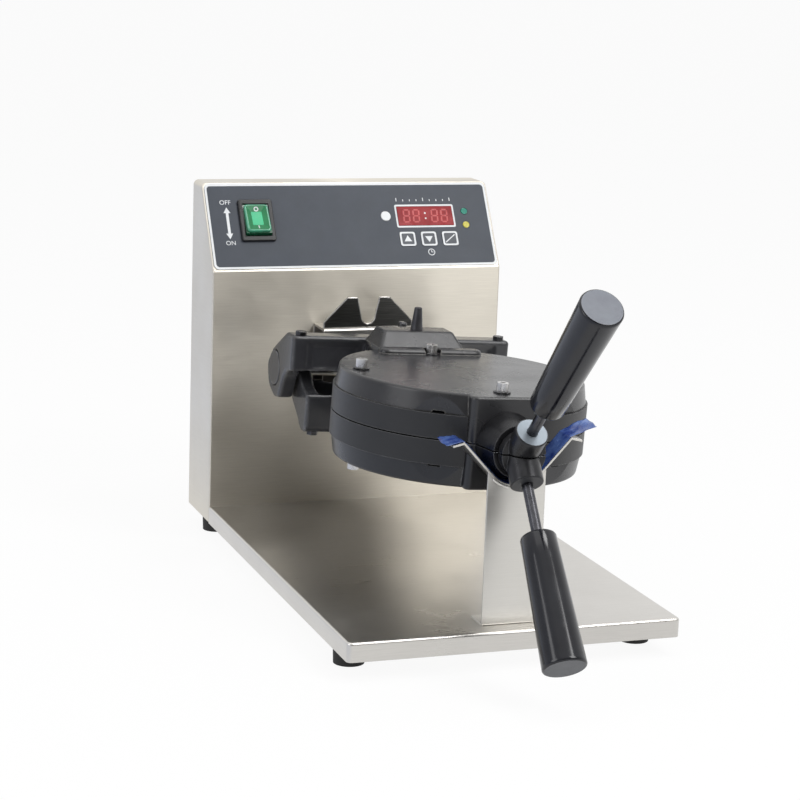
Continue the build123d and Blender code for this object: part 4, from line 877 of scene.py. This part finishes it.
def cap_screw_tree(material):
    """A knurled cylinder head with a hexagon socket."""
    tree, given, made = repeat_tree(
        "cap_screws",
        {
            "Head Radius": 4.25,
            "Head Height": 6.5,
            "Socket Radius": 2.3,
            "Socket Depth": 2.8,
            "Knurls": 30,
            "Knurl Depth": 0.12,
        },
    )
    ring = maths(tree, "MULTIPLY", given["Knurls"], 4)
    head_sizes = {"Vertices": ring, "Radius": given["Head Radius"], "Depth": given["Head Height"]}
    head = add(tree, "GeometryNodeMeshCylinder", head_sizes).outputs["Mesh"]
    knurled = waved(tree, head, given["Knurls"], given["Knurl Depth"])
    both_ways = maths(tree, "MULTIPLY", given["Socket Depth"], 2)
    socket_sizes = {"Vertices": 6, "Radius": given["Socket Radius"], "Depth": both_ways}
    socket = add(tree, "GeometryNodeMeshCylinder", socket_sizes).outputs["Mesh"]
    lift = vector_of(tree, z=maths(tree, "MULTIPLY", given["Head Height"], 0.5))
    raised = add(tree, "GeometryNodeTransform", {"Geometry": socket, "Translation": lift})
    cut = add(
        tree, "GeometryNodeMeshBoolean", {0: knurled, 1: raised.outputs[0]}, operation="DIFFERENCE"
    )
    seated = add(tree, "GeometryNodeTransform", {"Geometry": cut.outputs[0], "Translation": lift})
    set_on_points(tree, given, made, seated.outputs[0], material)
    return tree


def star_washer_tree(material):
    """A lock washer with teeth round its outside."""
    tree, given, made = repeat_tree(
        "star_washers", {"Outer Radius": 6.1, "Thickness": 1.2, "Teeth": 10, "Tooth Depth": 0.45}
    )
    ring_points = maths(tree, "MULTIPLY", given["Teeth"], 8)
    ring_sizes = {"Vertices": ring_points, "Radius": given["Outer Radius"]}
    ring = add(tree, "GeometryNodeMeshCircle", ring_sizes, fill_type="NGON").outputs[0]
    toothed = waved(tree, ring, given["Teeth"], given["Tooth Depth"])
    upward = {
        "Mesh": toothed,
        "Offset": vector_of(tree, z=1.0),
        "Offset Scale": given["Thickness"],
        "Individual": False,
    }
    raised = add(tree, "GeometryNodeExtrudeMesh", upward).outputs[0]
    floor = add(tree, "GeometryNodeFlipFaces", {"Mesh": toothed}).outputs[0]
    solid = add(tree, "GeometryNodeJoinGeometry")
    tree.links.new(raised, solid.inputs[0])
    tree.links.new(floor, solid.inputs[0])
    near_points = {"Geometry": solid.outputs[0], "Distance": 0.01}
    closed = add(tree, "GeometryNodeMergeByDistance", near_points)
    set_on_points(tree, given, made, closed.outputs[0], material)
    return tree


def weld_bead_tree(material):
    """Flattened beads of weld."""
    tree, given, made = repeat_tree("weld_beads", {"Bead Radius": 1.1, "Flatness": 0.6})
    ball_sizes = {"Segments": 14, "Rings": 8, "Radius": given["Bead Radius"]}
    ball = add(tree, "GeometryNodeMeshUVSphere", ball_sizes).outputs["Mesh"]
    flatten = vector_of(tree, 1.0, given["Flatness"], 1.0)
    flat = add(tree, "GeometryNodeTransform", {"Geometry": ball, "Scale": flatten}).outputs[0]
    set_on_points(tree, given, made, flat, material)
    return tree


def repeated(tree, points, values, place):
    """The plain mesh that a geometry tree makes on a set of points, laid in place."""
    seeds = bpy.data.meshes.new("points")
    seeds.from_pydata(points, [], [])
    holder = held(seeds)
    modifier = holder.modifiers.new("repeat", "NODES")
    modifier.node_group = tree
    for item in tree.interface.items_tree:
        if item.in_out == "INPUT" and item.name in values:
            modifier[item.identifier] = values[item.name]
    mesh = plain_mesh(holder)
    mesh.transform(place)
    return mesh


# Cover screws on lock washers, at heights over the middle of the iron
cover_top = 34.7
screw_foot = cover_top + 1.3
screw_places = [(-81.5, 0), (81.5, 0), (0, -81.5), (0, 68.0)]
head_points = [(x, y, screw_foot) for x, y in screw_places]
washer_points = [(x, y, cover_top) for x, y in screw_places]
cap_screws = cap_screw_tree(bright_screw)
star_washers = star_washer_tree(black_screw)
for half_name, half, body in (("upper", upper_half, "lid"), ("lower", lower_half, "carrier")):
    heads = repeated(cap_screws, head_points, {"Knurls": 30}, half)
    piece = new_piece(f"{half_name}_knurled_screws", heads, body, slot="screw_steel")
    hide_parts(f"{half_name}_cover_screws")
    washers = repeated(star_washers, washer_points, {"Teeth": 10}, half)
    piece = new_piece(f"{half_name}_star_washers", washers, body, slot="black_steel")
    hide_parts(f"{half_name}_screw_washers")

# Weld between the post and the cradle, a row of beads to each side of the cradle's lowest line
cradle_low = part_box("cradle")[0]
post_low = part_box("support_post")[0]
weld_radius = (iron_centre.z - cradle_low.z) / mm + 0.5
weld_angles = [radians(4 + 3.4 * bead) for bead in range(12)]
weld_y, weld_axis = post_low.y / mm, iron_centre.z / mm
weld_points = [
    (side * weld_radius * sin(angle), weld_y, weld_axis - weld_radius * cos(angle))
    for side in (-1, 1)
    for angle in weld_angles
]
weld_beads = weld_bead_tree(strip_steel)
beads = repeated(weld_beads, weld_points, {"Bead Radius": 1.2}, Matrix.Scale(mm, 4))
new_piece("weld_beads", beads, "base", slot="steel_strip")


# Grips, turned from distances along the rod and radii
def turned(name, profile, place, steps=64):
    """A closed turned shape whose far end gets the second finish."""
    build = bmesh.new()
    angles = [2 * pi * step / steps for step in range(steps)]
    rings = [
        [build.verts.new((radius * cos(angle), radius * sin(angle), along)) for angle in angles]
        for along, radius in profile
    ]
    for low, high in zip(rings, rings[1:]):
        for i in range(steps):
            j = (i + 1) % steps
            build.faces.new((low[i], low[j], high[j], high[i]))
    build.faces.new(list(reversed(rings[0])))
    cap = build.faces.new(rings[-1])
    for face in build.faces:
        face.smooth = face is not cap
        face.material_index = 1 if face is cap else 0
    mesh = built_mesh(name, build)
    mesh.transform(place)
    return mesh


hub_front = 98.6
barrel_reach = 44.5
barrel_rise = 19.0
barrel_end = Vector((0, -(hub_front + barrel_reach), barrel_rise))
handle_line = Matrix.Translation(barrel_end) @ Matrix.Rotation(pi / 2 - handle_angle, 4, "X")
handle_length = 141.5
# Each grip's end finish paints its light: lit on the upper grip, shaded on the lower grip
grips = (
    ("upper", upper_half, "lid", 30.0, grip_end),
    ("lower", lower_half, "carrier", 40.0, shaded_grip_end),
)
for half_name, half, body, start, end_finish in grips:
    foot = [(0.0, 0.001), (0.0, 9.8), (0.5, 11.2), (1.4, 12.4), (2.8, 13.05), (20.0, 13.5)]
    tip = [(3.0, 15.95), (1.4, 16.0), (0.5, 15.6), (0.0, 14.8)]
    profile = [(start + along, radius) for along, radius in foot]
    profile += [(handle_length - short, radius) for short, radius in tip]
    piece_name = f"{half_name}_turned_grip"
    grip = turned(piece_name, profile, half @ handle_line)
    piece = new_piece(piece_name, grip, body, grip_coat, end_finish, slot="grip_black")
    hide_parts(f"{half_name}_grip")


# Protective film, laid through the cradle and crumpled at its ends
def film_path():
    """The film's line in millimetres, from its left tab through the cradle to its right flap."""
    radius = 24.15
    slope = radians(47.4)
    axis_height = iron_centre.z / mm
    flank_foot = axis_height - radius / cos(slope)
    shoulder = flank_foot + 41.5 * tan(slope)
    left_tab = [(-55.0, -3.2), (-50.0, -2.0), (-46.0, -1.1), (-43.0, -0.45), (-41.0, -0.7)]
    right_flap = [(41.0, -0.4), (45.0, 0.9), (50.0, 2.4), (55.0, 4.6), (61.0, 6.2)]
    left_flank = [(x, flank_foot - x * tan(slope)) for x in (-37.0, -30.0)]
    right_flank = [(x, flank_foot + x * tan(slope)) for x in (30.0, 37.0)]
    bends = [slope * step / 6 for step in range(-6, 7)]
    bottom = [(radius * sin(angle), axis_height - radius * cos(angle)) for angle in bends]
    points = [(x, shoulder + rise) for x, rise in left_tab] + left_flank + bottom + right_flank
    return points + [(x, shoulder + rise) for x, rise in right_flap]


def film_line(points, step=1.2):
    """The path in short even steps."""
    line = []
    for (x0, z0), (x1, z1) in zip(points, points[1:]):
        parts = max(1, int(Vector((x1 - x0, z1 - z0)).length / step))
        line += [
            (x0 + (x1 - x0) * part / parts, z0 + (z1 - z0) * part / parts) for part in range(parts)
        ]
    return line + [points[-1]]


def crumple(x, across):
    """Waves of the film at a place along it in millimetres and a share of its width."""
    broad = sin(across * 5.0 + x * 0.30)
    slanted = 0.5 * sin(across * 11.0 - x * 0.55)
    fine = 0.4 * sin(x * 1.1 + across * 3.0)
    wave = broad + slanted + fine
    looseness = max(0.0, (abs(x) - 38.0) / 14.0)
    return max(0.06 * wave + looseness * (0.30 * wave + 1.3 * across), -0.05)


def film_mesh(line, rows=14, margin=0.4):
    """A thin grid along a line, with folds that grow towards its loose ends."""
    film_low, film_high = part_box("cradle_film")
    front = film_low.y / mm + margin
    film_width = (film_high.y - film_low.y) / mm - 2 * margin
    build = bmesh.new()
    columns = []
    for x, z in line:
        column = []
        for row in range(rows + 1):
            across = row / rows
            y = front + across * film_width
            column.append(build.verts.new((x * mm, y * mm, (z + crumple(x, across)) * mm)))
        columns.append(column)
    for left, right in zip(columns, columns[1:]):
        for row in range(rows):
            build.faces.new((left[row], right[row], right[row + 1], left[row + 1])).smooth = True
    return built_mesh("crumpled_film", build)


line = film_line(film_path())
film_piece = new_piece("crumpled_film", film_mesh(line), "base", film_plastic(), slot="film_blue")
thin = film_piece.modifiers.new("thickness", "SOLIDIFY")
thin.thickness = 0.12 * mm
thin.offset = 1.0
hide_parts("cradle_film")


# Studio: floor, world, lamps and camera
def reflected(path):
    """The rays that have met a shiny or a clear surface, from the outputs of a Light Path node."""
    return path["Is Glossy Ray"], path["Is Transmission Ray"]


def pale_for_view(tree, shader_output, amount):
    """Show a surface white to the camera and in reflections, where its left is a little cooler."""
    path = add(tree, "ShaderNodeLightPath").outputs
    seen = maths(tree, "MAXIMUM", path["Is Camera Ray"], maths(tree, "MAXIMUM", *reflected(path)))
    at_left = remap(tree, split(tree, coordinates(tree, "Object"))[0], -0.25, -0.14, 1.0, 0.0)
    cool = maths(tree, "MULTIPLY", path["Is Glossy Ray"], at_left)
    shown = blend(tree, cool, (1, 1, 1), (0.74, 0.79, 0.91))
    glow = add(tree, "ShaderNodeEmission", {"Color": shown, "Strength": 1.0}).outputs[0]
    mixed = {0: maths(tree, "MULTIPLY", seen, amount), 1: shader_output, 2: glow}
    return add(tree, "ShaderNodeMixShader", mixed).outputs[0]


floor_reach = 40.0
corner_signs = ((-1, -1), (1, -1), (1, 1), (-1, 1))
floor_corners = [(x * floor_reach, y * floor_reach, 0) for x, y in corner_signs]
floor_mesh = bpy.data.meshes.new("floor")
floor_mesh.from_pydata(floor_corners, [], [(0, 1, 2, 3)])
floor = bpy.data.objects.new("floor", floor_mesh)
scene.collection.objects.link(floor)
floor_paint, floor_tree, floor_shader = finish("floor_paint")
floor_shader.inputs["Base Color"].default_value = (0.94, 0.94, 0.94, 1)
floor_shader.inputs["Roughness"].default_value = 0.85
surface_out = floor_tree.nodes["Material Output"].inputs["Surface"]
floor_tree.links.new(pale_for_view(floor_tree, floor_shader.outputs[0], 0.92), surface_out)
floor_mesh.materials.append(floor_paint)

# World: white to the camera, grey light, and in reflections white with a dim front and a cool left
world = bpy.data.worlds.new("studio")
world.use_nodes = True
scene.world = world
sky = world.node_tree
path = add(sky, "ShaderNodeLightPath").outputs
direction = split(sky, coordinates(sky, "Generated"))
front = remap(sky, direction[1], -0.8, 0.1, 1.0, 0.0)
low_front = maths(sky, "MULTIPLY", front, remap(sky, direction[2], 0.4, 0.9, 1.0, 0.0))
left = remap(sky, direction[0], -0.95, -0.4, 1.0, 0.0)
mirrored = blend(sky, low_front, (1, 1, 1), (0.13, 0.12, 0.10))
mirrored = blend(sky, left, mirrored, (0.58, 0.60, 0.66))
lit = blend(sky, maths(sky, "MAXIMUM", *reflected(path)), (0.5, 0.5, 0.5), mirrored)
backdrop = sky.nodes["Background"]
sky.links.new(blend(sky, path["Is Camera Ray"], lit, (1, 1, 1)), backdrop.inputs["Color"])
backdrop.inputs["Strength"].default_value = 1.0

# Square lamps that look at the middle of the object: place, size and power in watts
lamp_target = Vector((0, 0, 0.15))
lamps = {
    "key_lamp": ((1.0, -1.5, 1.7), 1.0, 21.0),
    "top_lamp": ((-0.3, 0.1, 2.0), 1.4, 5.0),
    "rim_lamp": ((0.68, -0.4, 2.0), 0.5, 7.0),
    "side_lamp": ((-1.7, -0.5, 0.9), 0.9, 7.0),
}
for lamp_name, (place, size, power) in lamps.items():
    lamp = bpy.data.lights.new(lamp_name, "AREA")
    lamp.size = size
    lamp.energy = power
    lamp_holder = bpy.data.objects.new(lamp_name, lamp)
    lamp_holder.location = place
    lamp_holder.rotation_euler = (lamp_target - Vector(place)).to_track_quat("-Z", "Y").to_euler()
    scene.collection.objects.link(lamp_holder)

# Camera, solved from the edges of the base and the tower
yaw, pitch, roll = radians(19.84), radians(12.04), radians(2.01)
forward = Vector((sin(yaw) * cos(pitch), cos(yaw) * cos(pitch), -sin(pitch)))
level = Vector((cos(yaw), -sin(yaw), 0))
above = level.cross(forward)
camera_right = level * cos(roll) + above * sin(roll)
camera_up = above * cos(roll) - level * sin(roll)
camera_place = Matrix.Translation((-0.6215, tray_low.y - 1.4522, tower_low.z + 0.5182))
camera_data = bpy.data.cameras.new("camera")
camera_data.lens = 102.53
camera_data.sensor_width = 36.0
camera_data.clip_end = 100.0
camera = bpy.data.objects.new("camera", camera_data)
camera_turn = Matrix((camera_right, camera_up, -forward)).transposed().to_4x4()
camera.matrix_world = camera_place @ camera_turn
scene.collection.objects.link(camera)
scene.camera = camera
scene.view_settings.view_transform = "Standard"
